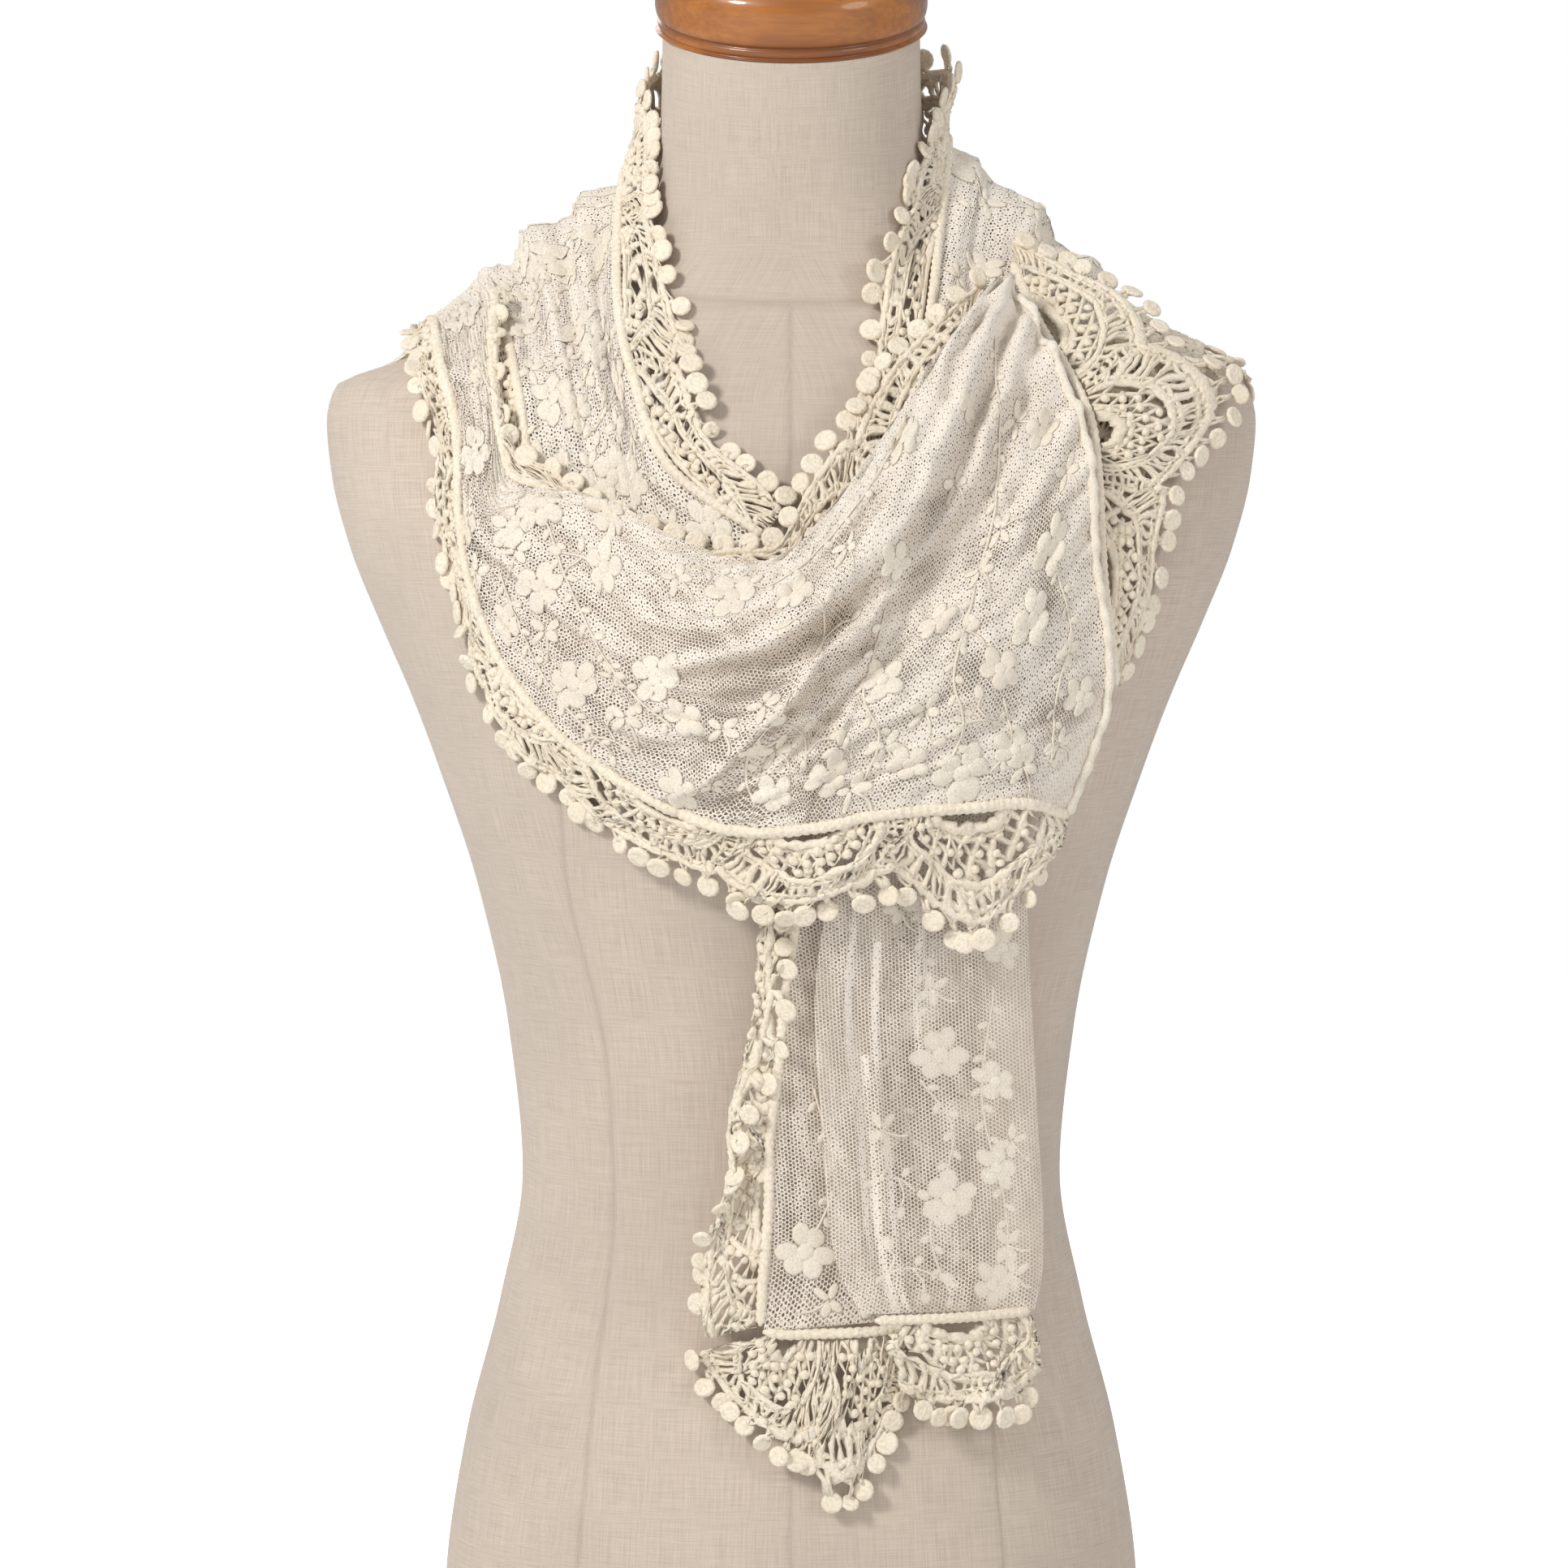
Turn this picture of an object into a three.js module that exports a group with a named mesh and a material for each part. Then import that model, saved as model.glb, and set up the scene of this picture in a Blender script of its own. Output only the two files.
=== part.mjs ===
// A crocheted-lace and embroidered-net shawl wound round the neck of a limbless dress form.
// Millimetres, +Z up, +X to the wearer's left, -Y the wearer's front, origin on the underside of the base board.
import * as THREE from "three";

// ---------------------------------------------------------------- driving dimensions
const NET_WALL = 1.2;            // thickness of a net panel's wall
const TRIM_WALL = 1.8;           // thickness of a crochet trim's wall
const SKIN_GAP = 2;              // least space between the form and the middle of any cloth wall
const SHOULDER_CORNER = 568;     // height of the form's tight corner from shoulder top to side
const CORNER_GAP = 4.2;          // the cloth's bulk keeps it this much further off that corner
const SEAM = 0.03;               // half the seam between net and trim, in steps across the cloth
const STRETCH_GAP = 0.012;       // half the gap between two stretches of one winding, in steps along it
const SCALLOP = 84;              // length of one scallop of the trim's outer edge
const NOTCH = 0.22;              // depth of the notch between two scallops, as a share of the trim's width
const BASE_HEIGHT = 12;          // the board that the form stands on
const PART_GAP = 0.3;            // space between the hard pieces
const SECTION_POWER = 2.3;       // the form's sections are superellipses of this power
const NECK_TILT = Math.tan(THREE.MathUtils.degToRad(20));  // the neck's top slopes down to the front
const NECK_TILT_FROM = 628;      // the slope starts at this height
const NECK_TOP = 716;            // height of the neck's top on the form's axis
const CAP_RADIUS = 56;
const CAP_HEIGHT = 34;

// the form's horizontal sections: height, half width, depth to the front, depth to the back
const FORM_SECTIONS = [
  [12, 148, 96, 117], [73, 145, 99, 119], [131, 136, 96, 110], [186, 122, 89, 91], [240, 112.5, 84, 77],
  [300, 118, 91, 84], [360, 130.5, 107, 92], [408, 146, 122, 98], [440, 158, 122, 101], [470, 171, 112, 103],
  [500, 183, 99, 102], [530, 190.5, 88, 98], [552, 192.5, 78, 90], [566, 189, 70, 82], [578, 159, 62, 74],
  [590, 122, 57, 68], [603, 88, 54, 64], [616, 68, 52, 60], [632, 59, 52, 56], [660, 55, 54, 52],
  [690, 53.5, 57, 48], [716, 53, 59, 46],
];

// ---------------------------------------------------------------- materials
const finish = (name, color, roughness) => new THREE.MeshStandardMaterial({ name, color, roughness, metalness: 0 });
const LINEN = finish("linen", 0xc9bba6, 0.9);
const WOOD = finish("wood", 0xb87333, 0.35);
const NET = finish("net", 0xf1ebe0, 0.9);
const TRIM = finish("trim", 0xf0e6d0, 0.9);

// ---------------------------------------------------------------- curves
// A smooth curve through (xs, ys) that never overshoots between two of its points.
function monotone(xs, ys) {
  const last = xs.length - 1;
  const step = (i) => xs[i + 1] - xs[i];
  const rise = (i) => (ys[i + 1] - ys[i]) / step(i);
  const slopes = xs.map((_, i) => {
    if (i === 0) return rise(0);
    if (i === last) return rise(last - 1);
    if (rise(i - 1) * rise(i) <= 0) return 0;
    const before = 2 * step(i) + step(i - 1);
    const after = step(i) + 2 * step(i - 1);
    return (before + after) / (before / rise(i - 1) + after / rise(i));
  });
  return (x) => {
    const q = Math.min(Math.max(x, xs[0]), xs[last]);
    let i = 0;
    while (i < last - 1 && q >= xs[i + 1]) i += 1;
    const h = step(i);
    const t = (q - xs[i]) / h;
    return (2 * t ** 3 - 3 * t * t + 1) * ys[i] + (t ** 3 - 2 * t * t + t) * h * slopes[i]
      + (3 * t * t - 2 * t ** 3) * ys[i + 1] + (t ** 3 - t * t) * h * slopes[i + 1];
  };
}

// The four weights of a Catmull-Rom span at t.
const spanWeights = (t) => [
  (-t + 2 * t * t - t ** 3) / 2,
  (2 - 5 * t * t + 3 * t ** 3) / 2,
  (t + 4 * t * t - 3 * t ** 3) / 2,
  (-t * t + t ** 3) / 2,
];

// The point at q on the Catmull-Rom curve through a row of vectors; the ends run on straight.
function along(points, q) {
  const last = points.length - 1;
  const i = Math.min(Math.max(Math.floor(q), 0), last - 1);
  const pick = (k) => {
    if (k < 0) return points[0].clone().multiplyScalar(2).sub(points[1]);
    if (k > last) return points[last].clone().multiplyScalar(2).sub(points[last - 1]);
    return points[k];
  };
  const out = new THREE.Vector3();
  spanWeights(q - i).forEach((w, k) => out.addScaledVector(pick(i - 1 + k), w));
  return out;
}

// ---------------------------------------------------------------- the form's surface
const heights = FORM_SECTIONS.map((s) => s[0]);
const halfWidth = monotone(heights, FORM_SECTIONS.map((s) => s[1]));
const frontDepth = monotone(heights, FORM_SECTIONS.map((s) => s[2]));
const backDepth = monotone(heights, FORM_SECTIONS.map((s) => s[3]));

// How far out a point is, as a share of the form's section at its height: 0 on the surface.
function outness(x, y, z) {
  const depth = y < 0 ? frontDepth(z) : backDepth(z);
  return (Math.abs(x / halfWidth(z)) ** SECTION_POWER + Math.abs(y / depth) ** SECTION_POWER) ** (1 / SECTION_POWER) - 1;
}

// The form's outward direction near a point, and the point's distance from the form.
function formNear(p) {
  const d = 0.5;
  const slope = new THREE.Vector3(
    outness(p.x + d, p.y, p.z) - outness(p.x - d, p.y, p.z),
    outness(p.x, p.y + d, p.z) - outness(p.x, p.y - d, p.z),
    outness(p.x, p.y, p.z + d) - outness(p.x, p.y, p.z - d),
  ).divideScalar(2 * d);
  const steep = Math.max(slope.length(), 1e-6);
  return { out: slope.divideScalar(steep), distance: outness(p.x, p.y, p.z) / steep };
}

// Moves a point that is too near the form straight out, until the cloth's wall clears it.
function clearOfForm(p) {
  for (let turn = 0; turn < 4; turn += 1) {
    const gap = SKIN_GAP + CORNER_GAP * Math.exp(-(((p.z - SHOULDER_CORNER) / 16) ** 2));
    const { out, distance } = formNear(p);
    if (distance < gap) p.addScaledVector(out, gap - distance);
  }
  return p;
}

// A point in front of the form at (x, z), lift millimetres off its surface.
function front(x, z, lift) {
  const share = Math.min(Math.abs(x) / halfWidth(z), 0.98);
  return new THREE.Vector3(x, -frontDepth(z) * (1 - share ** SECTION_POWER) ** (1 / SECTION_POWER) - lift, z);
}
const free = (x, y, z) => new THREE.Vector3(x, y, z);

// ---------------------------------------------------------------- cloth
// A cloth surface is a list of sections along its length. Each section is a row of points across its width.
// pleats(u, v) gives how far the cloth stands off that smooth surface, away from the form.
function clothSurface(sections, pleats = () => 0) {
  return (u, v) => {
    const p = along(sections.map((row) => along(row, v)), u);
    const stand = pleats(u, v);
    if (stand !== 0) p.addScaledVector(formNear(p).out, stand);
    return clearOfForm(p);
  };
}

const steps = (from, to, count) => Array.from({ length: count + 1 }, (_, i) => from + (to - from) * i / count);

// Places along a cloth surface, evenly spaced by the length measured at v.
function evenSteps(surface, from, to, v, count) {
  const fine = steps(from, to, 240);
  const points = fine.map((u) => surface(u, v));
  const lengths = [0];
  for (let i = 1; i < points.length; i += 1) lengths.push(lengths[i - 1] + points[i].distanceTo(points[i - 1]));
  const whole = lengths[lengths.length - 1];
  let i = 0;
  const places = steps(0, whole, count).map((wanted) => {
    while (i < fine.length - 2 && lengths[i + 1] < wanted) i += 1;
    const share = Math.min(Math.max((wanted - lengths[i]) / (lengths[i + 1] - lengths[i]), 0), 1);
    return fine[i] + (fine[i + 1] - fine[i]) * share;
  });
  return { places, whole };
}

// A closed wall of even thickness on a stretch of a cloth surface. reach(i) is the share of its full width that it
// has at its i-th place along, measured from v0.
function wall(name, surface, us, [v0, v1, nv], thickness, material, reach = () => 1) {
  const nu = us.length - 1;
  const grid = us.map((u, i) => steps(v0, v0 + (v1 - v0) * reach(i), nv).map((v) => surface(u, v)));
  const faces = [[], []];
  const pick = (i, j) => grid[Math.min(Math.max(i, 0), nu)][Math.min(Math.max(j, 0), nv)];
  for (let i = 0; i <= nu; i += 1) {
    for (let j = 0; j <= nv; j += 1) {
      const across = pick(i + 1, j).clone().sub(pick(i - 1, j));
      const down = pick(i, j + 1).clone().sub(pick(i, j - 1));
      const normal = across.cross(down).normalize().multiplyScalar(thickness / 2);
      faces[0].push(...grid[i][j].clone().add(normal).toArray());
      faces[1].push(...grid[i][j].clone().sub(normal).toArray());
    }
  }
  const side = (nu + 1) * (nv + 1);
  const at = (i, j, face) => face * side + i * (nv + 1) + j;
  const triangles = [];
  const quad = (a, b, c, d) => triangles.push(a, b, c, a, c, d);
  for (let i = 0; i < nu; i += 1) {
    for (let j = 0; j < nv; j += 1) {
      quad(at(i, j, 0), at(i + 1, j, 0), at(i + 1, j + 1, 0), at(i, j + 1, 0));
      quad(at(i, j, 1), at(i, j + 1, 1), at(i + 1, j + 1, 1), at(i + 1, j, 1));
    }
    quad(at(i, 0, 0), at(i, 0, 1), at(i + 1, 0, 1), at(i + 1, 0, 0));
    quad(at(i, nv, 0), at(i + 1, nv, 0), at(i + 1, nv, 1), at(i, nv, 1));
  }
  for (let j = 0; j < nv; j += 1) {
    quad(at(0, j, 0), at(0, j + 1, 0), at(0, j + 1, 1), at(0, j, 1));
    quad(at(nu, j, 0), at(nu, j, 1), at(nu, j + 1, 1), at(nu, j + 1, 0));
  }
  return solid(name, new Float32Array([...faces[0], ...faces[1]]), triangles, material);
}

function solid(name, positions, triangles, material) {
  const geometry = new THREE.BufferGeometry();
  geometry.setAttribute("position", new THREE.BufferAttribute(positions, 3));
  geometry.setIndex(triangles);
  geometry.computeVertexNormals();
  const mesh = new THREE.Mesh(geometry, material);
  mesh.name = name;
  return mesh;
}

// A ridge (height above 0) or trough (below 0) along a path of [u, v] points, fading out at both ends.
function crease(path, width, height) {
  const us = path.map((p) => p[0]);
  const course = monotone(us, path.map((p) => p[1]));
  const start = us[0];
  const end = us[us.length - 1];
  return (u, v) => {
    if (u <= start || u >= end) return 0;
    const fade = Math.sin(Math.PI * (u - start) / (end - start)) ** 0.5;
    return height * fade * Math.exp(-(((v - course(u)) / width) ** 2));
  };
}

// ---------------------------------------------------------------- the first winding: chest, shoulder, back, shoulder
// Across: neck-side trim edge, its seam, three points of net, outer seam, outer trim edge.
const WRAP = [
  [front(3, 524, 3), front(-11, 506, 5), front(-22, 494, 5), front(-37, 490, 5), front(-51, 494, 5), front(-66, 497, 5), front(-79, 500, 5)],
  [front(-27, 545, 3), front(-49, 534, 5), front(-56, 518, 6), front(-66, 510, 6), front(-76, 506, 6), front(-87, 508, 5), front(-98, 511, 4)],
  [front(-30, 572, 3), front(-64, 571, 6), front(-69, 553, 8), front(-78, 541, 8), front(-90, 534, 8), front(-103, 530, 5), front(-116, 530, 3)],
  [front(-43, 600, 3), front(-70, 598, 10), front(-77, 583, 13), front(-85, 574, 13), front(-96, 570, 11), front(-110, 566, 7), front(-125, 561, 3)],
  [free(-49, -46, 616), free(-71, -24, 630), free(-82, -26, 618), free(-93, -27, 611), free(-105, -27, 603), free(-119, -26, 594.5), free(-134, -27, 585)],
  [free(-58, 4, 702), free(-68, 4, 658), free(-81, 6, 647), free(-99, 6, 635), free(-116, 6, 623), free(-132, 6, 607), free(-151, 10, 590)],
  [free(-47, 31, 710), free(-60, 40, 657), free(-76, 52, 633), free(-96, 61, 612), free(-118, 66, 590), free(-139, 68, 560), free(-158, 62, 510)],
  [free(-27, 48, 714), free(-35, 61, 657), free(-43, 79, 625), free(-56, 92, 592), free(-73, 99, 552), free(-90, 104, 505), free(-103, 103, 447)],
  [free(0, 53, 716), free(0, 68, 657), free(0, 86, 622), free(0, 99, 584), free(0, 108, 540), free(0, 114, 489), free(0, 112, 427)],
  [free(27, 48, 714), free(36, 61, 657), free(45, 79, 625), free(59, 92, 592), free(77, 99, 552), free(95, 104, 505), free(110, 102, 449)],
  [free(48, 31, 710), free(61, 39, 659), free(78, 52, 634), free(100, 61, 612), free(126, 66, 588), free(151, 66, 560), free(180, 54, 517)],
  [free(69, 3, 703), free(65, 3, 668), free(82, 5, 656), free(103, 5, 637), free(124, 5, 617), free(146, 4, 595), free(186, 2, 574)],
  [free(34, -54, 621), free(61, -24, 634), free(77, -27, 621), free(93, -29, 611), free(112, -29, 601), free(131, -26, 588), free(169, -38, 556)],
  [front(30, 590, 3), front(54, 584, 5), front(67, 574, 6), front(84, 567, 6), front(101, 559, 5), front(117, 547, 4), front(140, 521, 3)],
  [front(21, 538, 4), front(38, 529, 5.5), front(53, 522, 6), front(69, 516, 6), front(84, 509, 5), front(97, 500, 4), front(109, 489, 3)],
  [front(8, 475, 9), front(24, 469, 7), front(40, 465, 5), front(56, 462, 5), front(72, 459, 5), front(86, 456, 4), front(96, 449, 3)],
  [free(-6, -126, 391.8), free(8.5, -124, 391.8), free(28, -119.6, 391.8), free(48, -115.7, 391.8), free(68, -111.8, 391.8),
    free(86.8, -108.2, 391.8), free(94, -106, 391.8)],
];
const WRAP_END = WRAP.length - 1;
const WRAP_RIGHT = 5;       // the section on the wearer's right shoulder
const WRAP_BACK = 8;        // the section at the middle of the back
const WRAP_LEFT = 11;       // the section on the wearer's left shoulder
// The net is gathered into lengthwise pleats, most of all where it goes over a shoulder.
const wrapPleats = (u, v) => {
  const bulk = 3.6 * Math.exp(-(((u - WRAP_RIGHT) / 2.2) ** 2)) + 2.2 * Math.exp(-(((u - WRAP_BACK) / 2.5) ** 2))
    + 3 * Math.exp(-(((u - WRAP_LEFT) / 1.6) ** 2));
  const inside = Math.min(Math.max((v - 1) * (5 - v), 0), 1);
  return bulk * inside * Math.sin(Math.PI * 1.5 * (v - 1) + 0.5 * u);
};
const wrap = clothSurface(WRAP, wrapPleats);

// ---------------------------------------------------------------- the second winding: cowl and front panel
// Across: upper trim edge, its seam tucked behind the fold, the fold's crest, three points of net, hem seam, hem edge.
const COWL = [
  [free(-121, -10, 614), free(-125, -10, 612.5), free(-129, -10, 610), free(-134, -10, 605), free(-139, -10, 602), free(-144, -10, 598), free(-149, -10, 594), free(-161, -12, 586)],
  [free(-118, -28, 606), free(-121, -28, 604.5), free(-125, -28, 602.5), free(-130, -28, 600), free(-135, -28, 597), free(-140, -28, 594), free(-146, -28, 591), free(-158, -28, 583)],
  [free(-119, -52, 587), free(-121, -53, 584), free(-123, -54, 582), free(-127, -54, 580), free(-132, -53, 579), free(-137, -52, 577), free(-142, -51, 576), free(-154, -45, 571)],
  [front(-116, 558, 12), front(-118, 555, 13), front(-119, 553, 14), front(-122, 551, 14), front(-126, 550, 12), front(-130, 549, 10), front(-134, 547, 8), front(-147, 543, 4)],
  [front(-106, 542, 11), front(-112, 530, 12), front(-116, 521, 17), front(-120, 518, 17), front(-124, 516, 15), front(-128, 513, 12), front(-132, 510, 9), front(-143, 506, 4)],
  [front(-97, 538, 11), front(-98, 524, 12), front(-99, 524, 22), front(-103, 510, 22), front(-111, 497, 18), front(-119, 487, 14), front(-125, 479, 9), front(-135, 470, 4)],
  [front(-75, 520, 11), front(-75, 507, 12), front(-72, 520, 25), front(-78, 497, 24), front(-88, 481, 20), front(-99, 465, 15), front(-110, 449, 9), front(-123, 437, 4)],
  [front(-45, 511, 11), front(-46, 492, 12), front(-46, 506, 27), front(-52, 481, 28), front(-62, 459, 24), front(-73, 441, 18), front(-86, 424, 10), front(-99, 403, 4)],
  [front(-22, 509, 11), front(-26, 485, 12), front(-24, 498, 28), front(-30, 472, 32), front(-38, 447, 28), front(-47, 422, 20), front(-55, 404, 12), front(-72, 383, 6)],
  [front(-5, 510, 11), front(-6, 483, 12), front(-5, 499, 29), front(-8, 469, 34), front(-14, 441, 30), front(-22, 413, 23), front(-27, 393, 17), front(-40, 365, 12)],
  [front(3, 530, 10), front(15, 500, 13), front(13, 515, 28), front(12, 475, 34), front(9, 444, 31), front(6, 416, 26), front(3, 393, 22), front(-3, 352, 22)],
  [front(18, 559, 10), front(36, 527, 13), front(32, 539, 27), front(38, 488, 31), front(38, 450, 29), front(36, 422, 26), front(35, 399, 23), front(35, 356, 24)],
  [front(37, 584, 10), front(57, 555, 13), front(52, 567, 25), front(62, 507, 27), front(65, 463, 26), front(66, 428, 25), front(66, 401, 24), front(72, 340, 29)],
  [front(57, 599, 12), front(72, 580, 15), front(70, 590, 23), front(86, 526, 23), front(92, 472, 22), front(94, 431, 22), front(92, 402, 25), front(92, 353, 34)],
  [free(76, -48, 616), free(82, -49, 599), free(89, -59, 608), front(116, 551, 18), front(121, 497, 16), front(126, 445, 15), front(109, 396, 24), front(98, 368, 34)],
];
const COWL_END = COWL.length - 1;
// The large folds run out from the gathers on the wearer's left shoulder.
const COWL_CREASES = [
  crease([[4, 5.4], [5, 4.3], [6, 4.4], [7, 4.0], [8, 3.7], [9.4, 3.2]], 0.3, -5),
  crease([[6, 4.9], [8, 3.4], [10, 2.85], [11, 2.65], [12, 2.5], [14, 2.1]], 0.4, 6),
  crease([[7, 4.7], [8, 3.95], [10, 3.35], [11, 3.05], [12, 2.85], [14, 2.35]], 0.34, -4),
  crease([[7.4, 5.9], [9, 4.5], [10, 4.05], [11, 3.45], [12, 3.15], [14, 2.6]], 0.4, 6),
  crease([[7.8, 6], [9.2, 4.9], [10, 4.5], [11, 3.95], [12, 3.5], [14, 2.9]], 0.34, -3.5),
  crease([[11, 5.6], [12, 4.7], [13, 4], [14, 3.4]], 0.5, 2.5),
];
const cowlPleats = (u, v) => COWL_CREASES.reduce((sum, rise) => sum + rise(u, v), 0);
const cowl = clothSurface(COWL, cowlPleats);

// the trim on the panel's short end, over the wearer's left shoulder: seam, middle, edge
const PANEL_END = [
  [free(90, -34, 616), free(90, -30, 624), free(91, -25, 633)],
  [front(100, 591, 17), free(112, -38, 607), free(124, -24, 615)],
  [front(110, 573, 15), free(131, -51, 591), free(153, -27, 599)],
  [front(119, 553, 13), front(151, 562, 14), free(187, -35, 574)],
  [front(122, 531, 11), front(145, 528, 10), front(168, 525, 9)],
  [front(123, 509, 10), front(139, 507, 9), front(154, 504, 8)],
  [front(124, 487, 10), front(137, 485, 9), front(149, 483, 8)],
  [front(127, 465, 9), front(134, 464, 8), front(141, 463, 7)],
  [front(129, 446, 8), front(131, 446, 7.5), front(134, 447, 7)],
];
const panelEnd = clothSurface(PANEL_END);

// ---------------------------------------------------------------- the hanging tail, folded down its length
// height; left seam, left fold of the front layer, right fold; depth at the left and at the right
const TAIL = [
  [391.2, 8.5, 22, 92, -124, -107], [366, 5, 15, 93, -119, -100], [333, 0, 10, 95, -112, -90], [300, -3, 10, 97, -106, -84],
  [267, -7, 13, 99, -102, -80], [234, -8, 15, 101, -101, -78], [211, -10, 20, 101, -101, -79],
];
const TAIL_END = [190, -11, 28, 98, -102, -80];
const TAIL_FOLD = 2.6;           // half the space between the two layers
const TAIL_RETURN = 24;          // how far the front layer turns back under at its left fold
// Across: the back layer from its seam to the right fold, the front layer back to its left fold, and its return.
function tailSection([z, seam, leftFold, rightFold, leftDepth, rightDepth], [leftDrop, rightDrop, frontDrop] = [0, 0, 0]) {
  const depth = (x) => leftDepth + (rightDepth - leftDepth) * Math.max(x, 0) / rightFold;
  const slant = (x) => leftDrop + (rightDrop - leftDrop) * (x - seam) / (rightFold - seam);
  const point = (x, layer, drop) => free(x, depth(x) - TAIL_FOLD * (layer + 1), z - drop);
  const between = (from, to, share) => from + (to - from) * share;
  return [
    ...[seam, between(seam, rightFold, 1 / 3), between(seam, rightFold, 2 / 3), rightFold - 4].map((x) => point(x, -1, slant(x))),
    point(rightFold, 0.4, rightDrop),
    point(rightFold - 4, 1.8, (rightDrop + frontDrop) / 2),
    point(between(leftFold, rightFold, 2 / 3), 2, frontDrop),
    point(between(leftFold, rightFold, 1 / 3), 2, frontDrop),
    point(leftFold + 3, 1.8, frontDrop),
    point(leftFold, 1, frontDrop),
    point(leftFold + 3, 0.3, frontDrop),
    point(leftFold + TAIL_RETURN, 0.3, frontDrop),
  ];
}
const TAIL_ROWS = [...TAIL.map((row) => tailSection(row)), tailSection(TAIL_END, [1, -5, -6])];
const tail = clothSurface(TAIL_ROWS);

// the trim down the tail's left side, turned over the net above and spread out below: seam, middle, edge
const TAIL_SIDE = [
  [free(5.6, -120, 378), free(-4, -118, 376), free(-7, -121, 374)],
  [free(3.2, -117, 362), free(-7, -116, 360), free(-4, -121.5, 358)],
  [free(-1.8, -111, 333), free(-13, -111, 331), free(1, -119, 330)],
  [free(-4.8, -105, 300), free(-18, -105, 299), free(-2, -113, 298)],
  [free(-8.8, -102, 267), free(-24, -102, 266), free(-8, -110, 266)],
  [free(-9, -101, 250), free(-23, -101, 250), free(-24, -107, 246)],
  [free(-9.4, -101, 234), free(-23, -100, 233), free(-36, -101, 230)],
  [free(-11.4, -101, 211), free(-28, -99, 209), free(-45, -97, 205)],
  [free(-12.4, -101, 191), free(-33, -98, 186), free(-52, -95, 184)],
];
const tailSide = clothSurface(TAIL_SIDE);

// the trim across the tail's end, under the back layer and under the front layer: seam, middle, edge
const TAIL_END_BACK = [
  [free(-11, -101.5, 187.6), front(-29, 174, 7), front(-46, 170, 5)],
  [front(-3, 187.6, 12.5), front(-17, 165, 8), front(-33, 152, 5)],
  [front(9, 187.8, 12), front(0, 154, 8), front(-10, 134, 5)],
  [front(21, 188, 12), front(19, 147, 8), front(17, 107, 5)],
  [front(33, 188.5, 12), front(35, 160, 8), front(37, 136, 5)],
  [front(47, 189.5, 12), front(47, 170, 8), front(50, 157, 5)],
];
const TAIL_END_FRONT = [
  [front(33, 194.5, 22), front(42, 171, 18), front(50, 145, 14)],
  [front(52, 194.5, 23), front(56, 169, 19), front(62, 141, 15)],
  [front(70, 194.5, 24), front(73, 170, 20), front(77, 142, 15)],
  [front(87, 194.5, 25), front(90, 170, 20), front(92, 145, 15)],
  [front(96, 194.5, 27), front(99, 171, 22), front(99, 151, 17)],
];
const endBack = clothSurface(TAIL_END_BACK);
const endFront = clothSurface(TAIL_END_FRONT);

// ---------------------------------------------------------------- the dress form
// Rings of points joined into one closed skin, with a point at the middle of each end.
function loft(name, rings, material) {
  const count = rings[0].length;
  const positions = rings.flat().flatMap((p) => p.toArray());
  const middle = (ring) => ring.reduce((sum, p) => sum.add(p), new THREE.Vector3()).divideScalar(count);
  positions.push(...middle(rings[0]).toArray(), ...middle(rings[rings.length - 1]).toArray());
  const bottom = rings.length * count;
  const triangles = [];
  for (let k = 0; k < count; k += 1) {
    const next = (k + 1) % count;
    const top = (rings.length - 1) * count;
    triangles.push(bottom, next, k, bottom + 1, top + k, top + next);
    for (let i = 0; i < rings.length - 1; i += 1) {
      const low = i * count;
      const high = low + count;
      triangles.push(low + k, low + next, high + next, low + k, high + next, high + k);
    }
  }
  return solid(name, new Float32Array(positions), triangles, material);
}

const FORM_POINTS = 44;
const signedPower = (value, power) => Math.sign(value) * Math.abs(value) ** power;
function formRing(z) {
  const rise = Math.min(Math.max((z - NECK_TILT_FROM) / (NECK_TOP - NECK_TILT_FROM), 0), 1);
  return Array.from({ length: FORM_POINTS }, (_, k) => {
    const angle = 2 * Math.PI * k / FORM_POINTS;
    const x = halfWidth(z) * signedPower(Math.cos(angle), 2 / SECTION_POWER);
    const across = signedPower(Math.sin(angle), 2 / SECTION_POWER);
    const y = across * (across < 0 ? frontDepth(z) : backDepth(z));
    return free(x, y, z + y * rise * NECK_TILT);
  });
}
const FORM_HEIGHTS = [
  ...steps(BASE_HEIGHT + PART_GAP, 540, 17), 552, 560, 566, 570, 574, 578, 584, 590, 596, 603, 609, 616, 624, 632, 645,
  660, 675, 690, 703, NECK_TOP,
];

function baseBoard() {
  const ring = (z, inset) => formRing(BASE_HEIGHT + PART_GAP).map((p) => free(
    p.x * (1 - inset / halfWidth(0)), p.y * (1 - inset / frontDepth(0)), z));
  return loft("base_board", [ring(0, 7), ring(2, 5), ring(BASE_HEIGHT - 2, 5), ring(BASE_HEIGHT, 7)], WOOD);
}

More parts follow.
